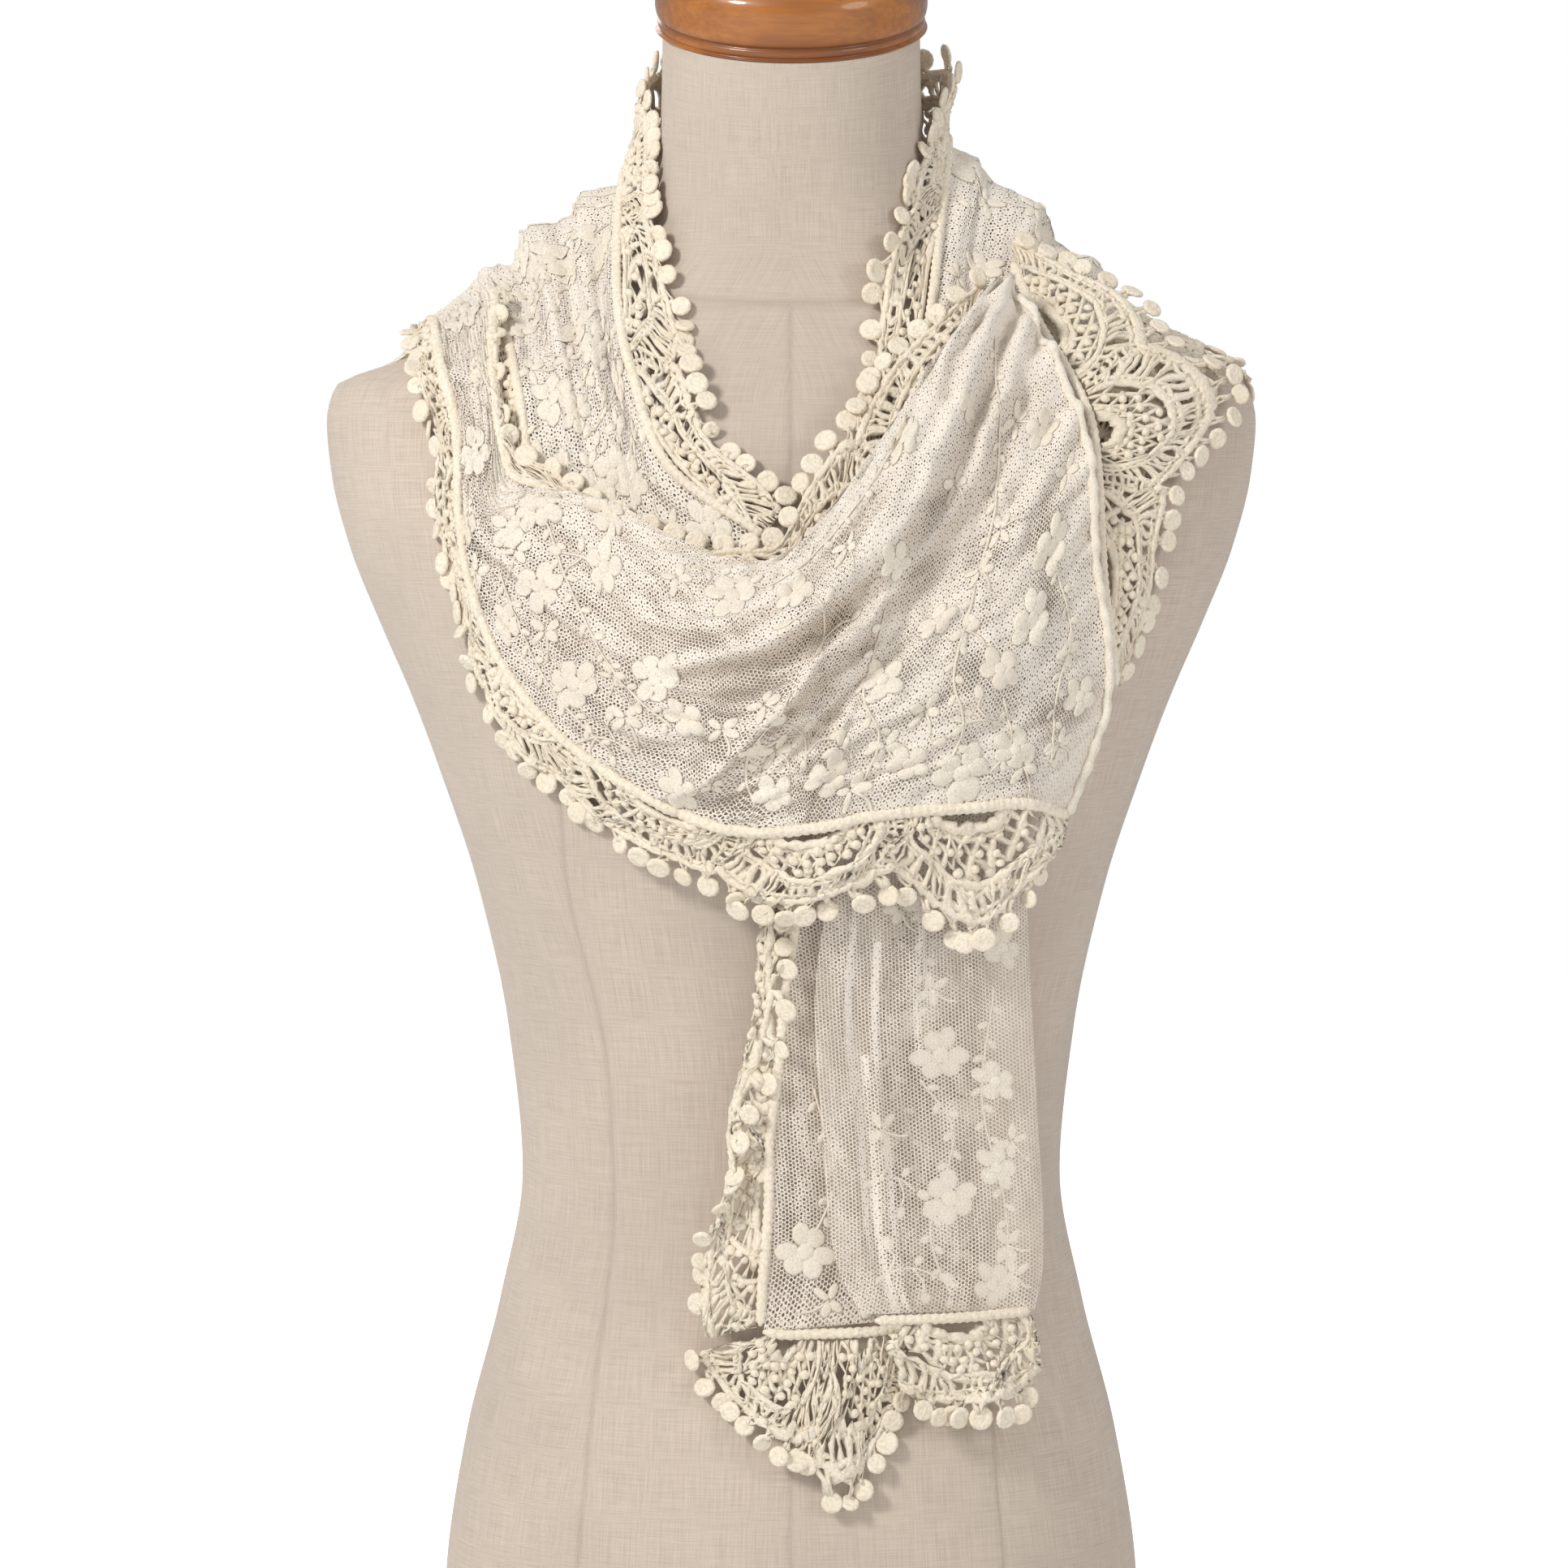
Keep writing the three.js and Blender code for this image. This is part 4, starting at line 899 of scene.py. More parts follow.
# %% Second winding
COWL = [
    [(-121, -10, 614), (-125, -10, 612.5), (-129, -10, 610), (-134, -10, 605), (-139, -10, 602),
     (-144, -10, 598), (-149, -10, 594), (-161, -12, 586)],
    [(-118, -28, 606), (-121, -28, 604.5), (-125, -28, 602.5), (-130, -28, 600), (-135, -28, 597),
     (-140, -28, 594), (-146, -28, 591), (-158, -28, 583)],
    [(-119, -52, 587), (-121, -53, 584), (-123, -54, 582), (-127, -54, 580), (-132, -53, 579),
     (-137, -52, 577), (-142, -51, 576), (-154, -45, 571)],
    [on(-116, 558, 12), on(-118, 555, 13), on(-119, 553, 14), on(-122, 551, 14), on(-126, 550, 12),
     on(-130, 549, 10), on(-134, 547, 8), on(-147, 543, 4)],
    [on(-106, 542, 11), on(-112, 530, 12), on(-116, 521, 17), on(-120, 518, 17), on(-124, 516, 15),
     on(-128, 513, 12), on(-132, 510, 9), on(-143, 506, 4)],
    [on(-97, 538, 11), on(-98, 524, 12), on(-99, 524, 22), on(-103, 510, 22), on(-111, 497, 18),
     on(-119, 487, 14), on(-125, 479, 9), on(-135, 470, 4)],
    [on(-75, 520, 11), on(-75, 507, 12), on(-72, 520, 25), on(-78, 497, 24), on(-88, 481, 20),
     on(-99, 465, 15), on(-110, 449, 9), on(-123, 437, 4)],
    [on(-45, 511, 11), on(-46, 492, 12), on(-46, 506, 27), on(-52, 481, 28), on(-62, 459, 24),
     on(-73, 441, 18), on(-86, 424, 10), on(-99, 403, 4)],
    [on(-22, 509, 11), on(-26, 485, 12), on(-24, 498, 28), on(-30, 472, 32), on(-38, 447, 28),
     on(-47, 422, 20), on(-55, 404, 12), on(-72, 383, 6)],
    [on(-5, 510, 11), on(-6, 483, 12), on(-5, 499, 29), on(-8, 469, 34), on(-14, 441, 30),
     on(-22, 413, 23), on(-27, 393, 17), on(-40, 365, 12)],
    [on(3, 530, 10), on(15, 500, 13), on(13, 515, 28), on(12, 475, 34), on(9, 444, 31), on(6, 416, 26),
     on(3, 393, 22), on(-3, 352, 22)],
    [on(18, 559, 10), on(36, 527, 13), on(32, 539, 27), on(38, 488, 31), on(38, 450, 29), on(36, 422, 26),
     on(35, 399, 23), on(35, 356, 24)],
    [on(37, 584, 10), on(57, 555, 13), on(52, 567, 25), on(62, 507, 27), on(65, 463, 26), on(66, 428, 25),
     on(66, 401, 24), on(72, 340, 29)],
    [on(57, 599, 12), on(72, 580, 15), on(70, 590, 23), on(86, 526, 23), on(92, 472, 22), on(94, 431, 22),
     on(92, 402, 25), on(92, 353, 34)],
    [(76, -48, 616), (82, -49, 599), (89, -59, 608), on(116, 551, 18), on(121, 497, 16), on(126, 445, 15),
     on(109, 396, 24), on(98, 368, 34)],
]
COWL_END = 14
FIRST_CREST = [(7.3, 3.95), (8.3, 3.45), (9.0, 3.2), (9.9, 2.98), (10.8, 2.8), (11.4, 2.7), (12.05, 2.58), (13.9, 2.1)]
SECOND_CREST = [(7.95, 6.0), (8.55, 5.3), (8.95, 4.6), (9.35, 4.12), (10.0, 3.75), (10.55, 3.4), (11.0, 3.05),
                (11.6, 2.9), (12.4, 2.75), (13.9, 2.35)]
COWL_ROLLS = [
    (FIRST_CREST, 0.55, 0.10, 10.0, 0.40), (SECOND_CREST, 0.46, 0.10, 9.0, 0.30),
    ([(8.3, 2.8), (8.7, 2.72), (9.3, 2.6), (10.2, 2.42), (11.6, 2.3)], 0.3, 0.07, 3.4, 0.3),
    ([(4.4, 4.6), (5.05, 4.2), (6.0, 4.35), (6.6, 4.15), (7.1, 3.97)], 0.34, 0.06, 3.2, 0.2),
    ([(7.1, 5.25), (7.6, 4.95), (8.3, 4.65)], 0.3, 0.05, 2.8, 0.2),
    ([(4.7, 2.3), (6, 3.0), (7, 3.3), (8, 3.0), (9.0, 2.75)], 0.3, 0.12, 2.6, 0.15),
    ([(9.1, 4.55), (9.6, 4.0), (10.2, 3.45), (10.8, 3.05)], 0.14, 0.07, 3.0, 0.3),
    ([(8.6, 5.6), (9.6, 4.75), (10.1, 4.2), (10.6, 3.7), (11.2, 3.25)], 0.2, 0.09, 3.0, 0.2),
    ([(10.0, 5.95), (10.25, 5.0), (10.5, 4.2), (10.9, 3.6)], 0.4, 0.12, 1.8, 0.15),
    ([(11.9, 3.2), (12.9, 2.75), (13.95, 2.45)], 0.2, 0.08, 3.2, 0.2),
    ([(12.0, 2.2), (12.9, 2.1), (13.95, 1.9)], 0.16, 0.08, 3.0, 0.2),
    ([(12.3, 3.7), (13.1, 3.3), (13.95, 2.95)], 0.16, 0.08, 2.4, 0.15)]
COWL_FOLDS = together(
    crease([(7.7, 4.3), (8.5, 3.85), (9.3, 3.55), (10.1, 3.25), (11, 2.97), (12, 2.75), (14, 2.25)], 0.22, -7),
    crease([(8.3, 6), (9.0, 5.3), (9.5, 4.7), (10.2, 4.2), (11, 3.55), (12, 3.2), (14, 2.6)], 0.28, -6),
    crease([(11, 5.6), (12, 4.7), (13, 4), (14, 3.4)], 0.5, 2.5), *(roll(*fold[:4]) for fold in COWL_ROLLS))
COWL_WRINKLES = together(
    crease([(5.5, 2.3), (7, 2.2), (9, 2.0), (11, 1.9), (13, 1.8)], 0.13, -1.8),
    crease([(5, 4.8), (6.2, 4.9), (7.2, 5.2)], 0.12, 1.5),
    crease([(9, 5.1), (10.5, 4.6), (12, 4.1), (13.6, 3.4)], 0.16, 1.5),
    crease([(10, 5.5), (11.2, 5.3), (12.4, 4.9), (13.4, 4.2)], 0.14, -1.2),
    crease([(12.3, 2.9), (13.1, 2.8), (14, 2.5)], 0.12, 1.8),
    crease([(12.2, 3.3), (13.2, 3.2), (14, 3.0)], 0.12, -1.6),
    crease([(0.4, 2.5), (2, 2.6), (4, 2.9), (5.4, 3.1)], 0.25, 1.2),
    crease([(0.4, 4.2), (2, 4.3), (4, 4.4)], 0.25, -1.2),
    ripple(0.45, 1.9, 1.3, 0.6), ripple(0.4, 0.8, 2.7, 1.6), ripple(0.25, 3.1, 1.9, -0.8))


def crest_line(u):
    """The course of the great fold that rises to the shoulder."""
    return 5.05 - 0.42 * (u - 6) + 0.012 * (u - 6) ** 2


def cowl_gathers(u, v):
    """Fine lengthwise pleats: sines across the net, strongest along the rolled upper edge, along the great fold, and
    where the net is bunched at the shoulder. They are flat at both seams."""
    strength = (1.3 * bell(v, 1.9, 0.8) * np.clip((u - 3) / 3, 0, 1)
                + 1.2 * bell(v, crest_line(u), 0.5) * bell(u, 9.5, 3)
                + 1.6 * bell(u, 14, 1.6) * bell(v, 2, 1.5) + 0.35)
    sway = 0.9 * np.sin(0.8 * u) + 0.4 * np.sin(2.1 * u + v)
    wave = np.sin(2 * np.pi * 3.1 * (v + 0.34 * (u - 8) * (v < 8)) + sway) + 0.5 * np.sin(2 * np.pi * 5.3 * v + 2.6 * u)
    return strength * wave * np.clip((v - 1) * (6 - v) * 1.2, 0, 1)


cowl = cloth_surface(COWL, together(COWL_FOLDS, COWL_WRINKLES, cowl_gathers))

PANEL_END = [
    [(90, -34, 616), (90, -30, 624), (91, -25, 633)],
    [on(100, 591, 17), (112, -38, 607), (124, -24, 615)],
    [on(110, 573, 15), (131, -51, 591), (153, -27, 599)],
    [on(119, 553, 13), on(151, 562, 14), (187, -35, 574)],
    [on(122, 531, 11), on(145, 528, 10), on(168, 525, 9)],
    [on(123, 509, 10), on(139, 507, 9), on(154, 504, 8)],
    [on(124, 487, 10), on(137, 485, 9), on(149, 483, 8)],
    [on(127, 465, 9), on(134, 464, 8), on(141, 463, 7)],
    [on(129, 446, 8), on(131, 446, 7.5), on(134, 447, 7)],
]
panel_end = cloth_surface(PANEL_END)
print("second winding:", len(COWL), "sections")

# %% [markdown]
# ## The hanging tail
# Below the cowl the strip's other end hangs down in front, folded along its length. One set of numbers a height gives
# the seam on its left, the front layer's fold, the right fold and the depths. Each becomes a row of twelve points that
# goes across the back layer, round the right fold, back across the front layer and under at its left fold.

# %% Tail
TAIL = [(391.2, 8.5, 22, 92, -124, -107), (366, 5, 15, 93, -119, -100), (333, 0, 10, 95, -112, -90),
        (300, -3, 10, 97, -106, -84), (267, -7, 13, 99, -102, -80), (234, -8, 15, 101, -101, -78),
        (211, -10, 20, 101, -101, -79), (190, -11, 28, 98, -102, -80)]
TAIL_FOLD, TAIL_RETURN = 2.6, 24


def tail_section(row, drops=(0, 0, 0)):
    """The twelve points at one height. Depth goes straight from the left to the right, and each layer lies half the
    fold's space in front of or behind it."""
    z, seam, left_fold, right_fold, left_depth, right_depth = row
    left_drop, right_drop, front_drop = drops
    depth = lambda x: left_depth + (right_depth - left_depth) * max(x, 0) / right_fold
    slant = lambda x: left_drop + (right_drop - left_drop) * (x - seam) / (right_fold - seam)
    point = lambda x, layer, drop: (x, depth(x) - TAIL_FOLD * (layer + 1), z - drop)
    third = lambda start, k: start + (right_fold - start) * k / 3
    back = [point(x, -1, slant(x)) for x in (seam, third(seam, 1), third(seam, 2), right_fold - 4)]
    return back + [
        point(right_fold, 0.4, right_drop), point(right_fold - 4, 1.8, (right_drop + front_drop) / 2),
        point(third(left_fold, 2), 2, front_drop), point(third(left_fold, 1), 2, front_drop),
        point(left_fold + 3, 1.8, front_drop), point(left_fold, 1, front_drop),
        point(left_fold + 3, 0.3, front_drop), point(left_fold + TAIL_RETURN, 0.3, front_drop)]


TAIL_ROWS = [tail_section(row) for row in TAIL[:-1]] + [tail_section(TAIL[-1], (1, -5, -6))]
TAIL_WRINKLES = together(
    crease([(2.4, 7.22), (4, 7.18), (6, 7.14), (6.95, 7.12)], 0.05, 1.8),
    crease([(0.2, 7.6), (2.0, 7.64), (4, 7.58), (6, 7.54), (6.95, 7.5)], 0.05, 1.6),
    crease([(1.0, 7.4), (3.0, 7.42), (5, 7.38), (6.95, 7.3)], 0.06, -1.4),
    crease([(0.1, 6.0), (1.2, 5.9), (2.6, 5.7)], 0.08, 1.3),
    crease([(0.3, 6.5), (1.6, 6.6), (3, 6.9)], 0.12, 1.1),
    crease([(4.5, 5.7), (5.6, 5.9), (6.9, 6.1)], 0.15, 1.0),
    ripple(0.3, 0.45, 0.8, 0.3))
tail = cloth_surface(TAIL_ROWS, TAIL_WRINKLES)

TAIL_SIDE = [
    [(5.6, -120, 378), (-5, -118, 376), (0, -123, 374)],
    [(3.2, -117, 362), (-8, -116, 360), (3, -123, 358)],
    [(-1.8, -111, 333), (-14, -111, 331), (6, -120, 330)],
    [(-4.8, -105, 300), (-19, -105, 299), (3, -114.5, 298)],
    [(-8.8, -102, 267), (-25, -102, 266), (-6, -110.5, 266)],
    [(-9, -101, 250), (-23, -101, 250), (-24, -107, 246)],
    [(-9.4, -101, 234), (-23, -100, 233), (-36, -101, 230)],
    [(-11.4, -101, 211), (-28, -99, 209), (-45, -97, 205)],
    [(-12.4, -101, 191), (-33, -98, 186), (-52, -95, 184)],
]
TAIL_END_BACK = [
    [(-11.5, -101.5, 189), on(-32, 181, 8), on(-51, 178, 6)],
    [on(-3, 187.6, 12.5), on(-17, 165, 8), on(-33, 152, 5)],
    [on(9, 187.8, 12), on(0, 154, 8), on(-10, 134, 5)],
    [on(21, 188, 12), on(19, 147, 8), on(17, 107, 5)],
    [on(33, 188.5, 12), on(35, 160, 8), on(37, 136, 5)],
    [on(47, 189.5, 12), on(47, 170, 8), on(50, 157, 5)],
]
TAIL_END_FRONT = [
    [on(33, 194.5, 22), on(42, 171, 18), on(50, 145, 14)],
    [on(52, 194.5, 23), on(56, 169, 19), on(62, 141, 15)],
    [on(70, 194.5, 24), on(73, 170, 20), on(77, 142, 15)],
    [on(87, 194.5, 25), on(90, 170, 20), on(92, 145, 15)],
    [on(96, 194.5, 27), on(99, 171, 22), on(99, 151, 17)],
]
tail_side, tail_end_back, tail_end_front = map(cloth_surface, (TAIL_SIDE, TAIL_END_BACK, TAIL_END_FRONT))
print("tail:", TAIL[0][0] - TAIL[-1][0], "mm of net below the hem")


# %% [markdown]
# ## The net panels
# Each panel of net is a fine sheet on its own stretch of the cloth surface. Its map holds millimetres along and across
# the cloth, so that the openings keep their size, and its fullness says where the net is gathered or lies double. Each
# of OPEN_PATCHES is a place on the cowl, its reach along and across, and how far the net there is thinned to a single
# layer.

# %% Net panels
NET_STEP = 1.5
RAMP = 0.5


def from_path(path, u, v):
    """The distance across from a path, in points, and the distance in from its start and from its end."""
    us, vs = np.array(path, float).T
    return v - monotone(us, vs)(u), u - us[0], us[-1] - u


def net_panel(name, surface, us, vs, fullness, shade=lambda u, v: 0 * u):
    """A grid on the surface, evenly spaced along. The map's first number is the length along the middle, its second
    the length across from the middle."""
    middle = (vs[0] + vs[1]) / 2
    length = even_places(surface, *us, middle, 2)[1]
    width = np.linalg.norm(np.diff(surface(np.full(80, sum(us) / 2), np.linspace(*vs, 80)), axis=0), axis=1).sum()
    rows, columns = int(length / NET_STEP), int(width / NET_STEP)
    u, v = even_places(surface, *us, middle, rows)[0][:, None], np.linspace(*vs, columns)[None]
    points = surface(u, v)
    across = np.concatenate([np.zeros((rows, 1)),
                             np.cumsum(np.linalg.norm(np.diff(points, axis=1), axis=2), 1)], 1)
    across -= across[:, [columns // 2]]
    along = np.broadcast_to(np.linspace(0, length, rows)[:, None], across.shape)
    faces = grid_faces(rows, columns)
    normal = np.cross(points[1:, 1:] - points[:-1, :-1], points[1:, :-1] - points[:-1, 1:])
    out = form_near((points[1:, 1:] + points[:-1, :-1]) / 2)[0]
    if np.sum(normal * out) > 0:
        faces = faces[:, ::-1]
    # The shade, kept as fold_shade for the finish, is painted shadow.
    full, dark = (np.clip(drawn(*np.broadcast_arrays(u, v)), 0, 1) for drawn in (fullness, shade))
    sheet = make_piece(name, points.reshape(-1, 3), faces, net_thread, uv=np.stack([along, across], -1).reshape(-1, 2),
                       values={"fullness": full.ravel(), "fold_shade": dark.ravel()})
    area = np.linalg.norm(normal, axis=-1).sum() / 2
    print(f"  {name}: about {length:.0f} by {area / length:.0f} mm as it lies, {area / 100:.0f} square cm")
    return sheet


def wrap_full(u, v):
    """Denser over the shoulders and along the crests of the pleats."""
    pleat = np.sin(np.pi * 1.5 * (v - 1) + 0.5 * u)
    return 0.40 + 0.25 * bell(u, WRAP_RIGHT, 2.0) + 0.12 * bell(u, WRAP_LEFT, 2.0) + 0.16 * pleat * pleat


OPEN_PATCHES = [
    (8.0, 3.25, 0.34, 0.16, 0.5), (8.9, 3.75, 0.6, 0.26, 0.9), (8.5, 4.2, 0.3, 0.25, 0.6),
    (10.2, 3.12, 0.3, 0.1, 0.7), (11.5, 3.1, 0.3, 0.1, 0.6), (11.8, 2.78, 0.3, 0.09, 0.5),
    (13.2, 3.95, 0.26, 0.26, 1.0), (13.35, 3.4, 0.25, 0.18, 0.9), (12.65, 3.3, 0.25, 0.14, 0.6),
    (10.2, 5.1, 0.17, 0.6, 1.0), (13.0, 5.6, 0.14, 0.25, 0.8), (13.6, 5.0, 0.25, 0.2, 0.8),
    (13.15, 4.9, 0.2, 0.2, 0.6), (12.0, 4.35, 0.35, 0.3, 0.5), (11.95, 5.6, 0.5, 0.2, 0.5),
    (9.2, 5.45, 0.55, 0.35, 0.9), (9.62, 4.1, 0.2, 0.08, 0.8), (7.2, 4.45, 0.35, 0.2, 0.5),
    (11.3, 3.75, 0.3, 0.2, 0.4), (12.6, 4.6, 0.3, 0.16, 0.4)]


def cowl_full(u, v):
    """A cloudy veil, since the strip lies double there, single only in a few patches. It is densest along the rolled
    upper edge, on the crest of each fold and where the strip is bunched at both shoulders."""
    dense = (0.42 + 0.36 * np.clip((u - 10.2) / 1.6, 0, 1) + 0.16 * bell(v, 2.6, 0.9) * bell(u, 6.5, 2.2)
             + 0.5 * bell(v, 1.7, 0.6) + 0.3 * bell(u, 0, 2.5) + 0.16 * np.clip(cowl_gathers(u, v) / 2.2, 0, 1))
    for path, _, _, _, share in COWL_ROLLS:
        off, begun, left = from_path(path, u, v)
        dense = dense + share * np.clip(np.minimum(begun, left + 0.4) / RAMP, 0, 1) * uneven_bell(off, 0.2, 0.05)
    open_share = sum(share * bell(u, at_u, reach_u) * bell(v, at_v, reach_v)
                     for at_u, at_v, reach_u, reach_v, share in OPEN_PATCHES)
    return (1 - np.exp(-1.15 * dense)) * (1 - np.clip(open_share, 0, 0.9))


def cowl_shade(u, v):
    """A painted shadow: a dark line just under the lower edge of each fold, as strong as the fold is high."""
    dark = 0 * (u + v)
    for path, _, below, height, _ in COWL_ROLLS:
        off, begun, left = from_path(path, u, v)
        ramp = np.clip(np.minimum(begun + 0.15, left) / RAMP, 0, 1)
        dark = dark + min(height / 9, 0.6) * ramp * uneven_bell(off - 1.1 * below, 0.05, 0.13)
    return np.minimum(dark, 0.7) * (1 - 0.45 * np.clip((u - 11) / 2, 0, 1))


def tail_full(u, v):
    """Single net, with thin dense lines where the front layer is creased, at its left fold and where it turns under."""
    lines = (0.9 * bell(v, 7.16 + 0.03 * np.sin(u), 0.024) * (u > 1.6) + 0.8 * bell(v, 7.62 - 0.03 * u, 0.022)
             + 0.7 * bell(v, 7.34 + 0.02 * np.sin(2 * u), 0.018) * (u > 3) + 0.3 * bell(v, 6.6, 0.02) * (u < 3))
    layers = (0.18 * (v < 4) + 0.8 * bell(v, 8.95, 0.3) + 0.14 * np.clip((v - 7.1) / 0.3, 0, 1) * (v < 9)
              + 0.12 * bell(v, 6.4, 0.3) + 0.35 * bell(v, 4.2, 0.25) + 0.16 * np.clip(u - 6, 0, 1))
    return 0.12 + lines + layers


STRETCHES = {"right_shoulder": (0, WRAP_RIGHT), "back": (WRAP_RIGHT, WRAP_LEFT), "left_shoulder": (WRAP_LEFT, WRAP_END)}
WRAP_NET, COWL_NET = (1, 5), (1, 6)
TAIL_STRETCH, TAIL_NET = (0, 7), (0, 11)
nets = {part: net_panel("net_panel_" + part, wrap, us, WRAP_NET, wrap_full) for part, us in STRETCHES.items()}
nets["cowl"] = net_panel("net_panel_cowl", cowl, (0, COWL_END), COWL_NET, cowl_full, cowl_shade)
nets["tail"] = net_panel("net_panel_tail", tail, TAIL_STRETCH, TAIL_NET, tail_full)
for part, sheet in nets.items():
    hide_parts("net_" + part)

# %% [markdown]
# ## The crochet trim
# The trim repeats one scallop 84 mm long and 60 mm deep. By the seam there is a thick arc over a half-moon opening.
# Round it lies a field of small bobbles on a lattice, then a fan of bars with leaf-shaped loops, an outer cord, and a
# row of round buttons on short stems. Every cord and bobble is a small mesh. An image of lace on a strip would be
# lighter, but flat. The scallop is drawn flat once and then laid along each trim, so the relief is real and the holes
# are open. Each cord is drawn with half its width and half its height, in millimetres, and its number of sides. The
# ovals stand ARC_FOOT past the seam, the outer cord lies EDGE_CORD in from the edge, FAN_FOOT holds the half axes of
# the oval where the fan's bars start, and FAN_TOP is the share of the bars that end on the outer cord.

# %% One scallop, drawn flat
SCALLOP, TRIM_DEPTH, NOTCH = 84.0, 60.0, 0.22
BUTTONS, BARS, LOOP_EVERY, BOBBLE_PITCH = 8, 32, 5, 7.0
BUTTON_AT = (np.arange(BUTTONS) - (BUTTONS - 1) / 2) * SCALLOP / BUTTONS
ARC_FOOT = 2.5
EDGE_CORD = 15.0
FAN_FOOT = (33, 29.5)
FAN_TOP = 0.72


def edge_depth(x):
    """The depth of the scalloped edge: full in the middle, less 22% at the notch, by the cosine to the power 0.7."""
    return TRIM_DEPTH * (1 - NOTCH * (1 - np.abs(np.cos(np.pi * x / SCALLOP)) ** 0.7))


def on_oval(rx, ry, angle):
    """Points on an upright half oval with its foot just past the seam: rx times the sine, ry times the cosine."""
    return np.stack([rx * np.sin(angle), ARC_FOOT + ry * np.cos(angle)], -1)


def oval_share(x, y, rx, ry):
    """How far out points are in such an oval: the sum of the squares of their shares of its half axes, 0 in its
    middle and 1 on it."""
    return (x / rx) ** 2 + ((y - ARC_FOOT) / ry) ** 2


def outline(q):
    """The fan's outer outline: along the outer cord for |q| up to FAN_TOP, then down the scallop's side."""
    side = np.clip((np.abs(q) - FAN_TOP) / (1 - FAN_TOP), 0, 1)
    x = 41.0 * np.clip(q / FAN_TOP, -1, 1)
    top = edge_depth(x) - EDGE_CORD - 0.5
    return np.stack([x, top - side * (top - 5)], -1)


def scallop_cords():
    """All cords of one scallop as one flat mesh: ovals, the outer cords, the fan's bars and loops and the ladder at
    the scallop's side."""
    x = np.linspace(-SCALLOP / 2, SCALLOP / 2, 27)
    q = np.linspace(-0.96, 0.96, BARS)
    inner, outer = on_oval(*FAN_FOOT, q * np.pi / 2 * 0.94), outline(q)
    t = np.linspace(0, 1, 5)[:, None]
    turn = np.linspace(0, 2 * np.pi, 13)[:, None]
    shapes = [flat_cord(on_oval(rx, ry, np.linspace(-np.pi / 2, np.pi / 2, count)), *cord) for rx, ry, count, *cord in (
        (16, 8.5, 17, 3.1, 1.5, 6), (20.5, 13, 17, 1.4, 0.9, 4),
        (*FAN_FOOT, 25, 2.1, 1.2, 5), (36, 32.5, 25, 1.3, 0.85, 4))]
    shapes.append(flat_cord(np.stack([x, edge_depth(x) - EDGE_CORD], -1), 2.6, 1.4, 6))
    shapes.append(flat_cord(np.stack([x, edge_depth(x) - EDGE_CORD - 4 + 0.8 * np.sin(x * 0.9)], -1), 1.4, 0.9, 4))
    for k in np.flatnonzero(np.arange(BARS) % LOOP_EVERY != 2):
        sway = 1.1 * np.sin(t * 2 * np.pi + k) * np.array([[1, 0.3]])
        shapes.append(flat_cord(inner[k] + (outer[k] - inner[k]) * t + sway, 1.35, 0.9, 4))
    for k in range(2, BARS, LOOP_EVERY):
        middle, reach = (inner[k] + outer[k]) / 2, (outer[k] - inner[k]) / 2
        beside = unit(np.array([-reach[1], reach[0]])) * 2.7
        shapes.append(flat_cord(middle + reach * np.cos(turn) + beside * np.sin(turn), 1.4, 1.0, 4))
    ladder = np.linspace(3, 31, 8)
    for side in (39.0, 45.0):
        shapes.append(flat_cord(np.column_stack([np.full(8, side), ladder]), 1.3, 0.9, 4))
    for y in ladder[:-1] + 2:
        shapes.append(flat_cord(np.column_stack([np.linspace(39, 45, 3), np.full(3, y)]), 1.3, 0.85, 4))
    run = np.linspace(0, 28, 9)
    for lean in (-1, 1):
        for start in np.arange(-44, 45, BOBBLE_PITCH):
            x, y = start + lean * run * 0.577, ARC_FOOT + run
            kept = np.column_stack([x, y])[(oval_share(x, y, 32, 28.5) < 1) & (oval_share(x, y, 17, 9.5) > 1)]
            if len(kept) > 2:
                shapes.append(flat_cord(kept, 1.25, 0.8, 4))
    for k, at in enumerate(BUTTON_AT):
        foot = edge_depth(at) - EDGE_CORD + 0.5
        lean = 1.6 * math.sin(2.4 * k)
        for side in (-1, 1):
            path = np.array([[at + side * 2.6 + lean, foot], [at + side * 1.5 - lean * 0.4, foot + 2.2],
                             [at + side * 0.8, foot + 4.4], [at + side * 0.5, foot + 7]])
            shapes.append(flat_cord(path, 1.2, 0.85, 4))
    return joined(shapes)


def bobble_places():
    """Centres of the bobbles: where the lattice's lines cross, inside the outer oval and outside the arc."""
    step = 6.06
    spots = np.concatenate([np.column_stack([
        np.arange(-35, 36, BOBBLE_PITCH) + (BOBBLE_PITCH / 2 if k % 2 else 0), np.full(11, y)])
        for k, y in enumerate(np.arange(ARC_FOOT + step, 32, step), 1)])
    x, y = spots.T
    return spots[(oval_share(x, y, 30.5, 27) < 1) & (oval_share(x, y, 19.5, 12) > 1)]


cords, bobbles = scallop_cords(), bobble_places()
BUTTON = flat_dome((0, 0), (4.9, 4.7), 0.3, 1.25, 12,
                   ((0.0, 0.62), (0.22, 0.80), (0.42, 0.60), (0.72, 1.0), (0.92, 0.72), (1.0, 0.0)))
BOBBLE = flat_dome((0, 0), (2.35, 2.2), 0.0, 1.5, 8, ((0.0, 1.0), (0.6, 0.85), (1.0, 0.0)))
print("one scallop:", len(cords[1]) * 2 + len(cords[2]), "triangles of cord,", len(bobbles), "bobbles")


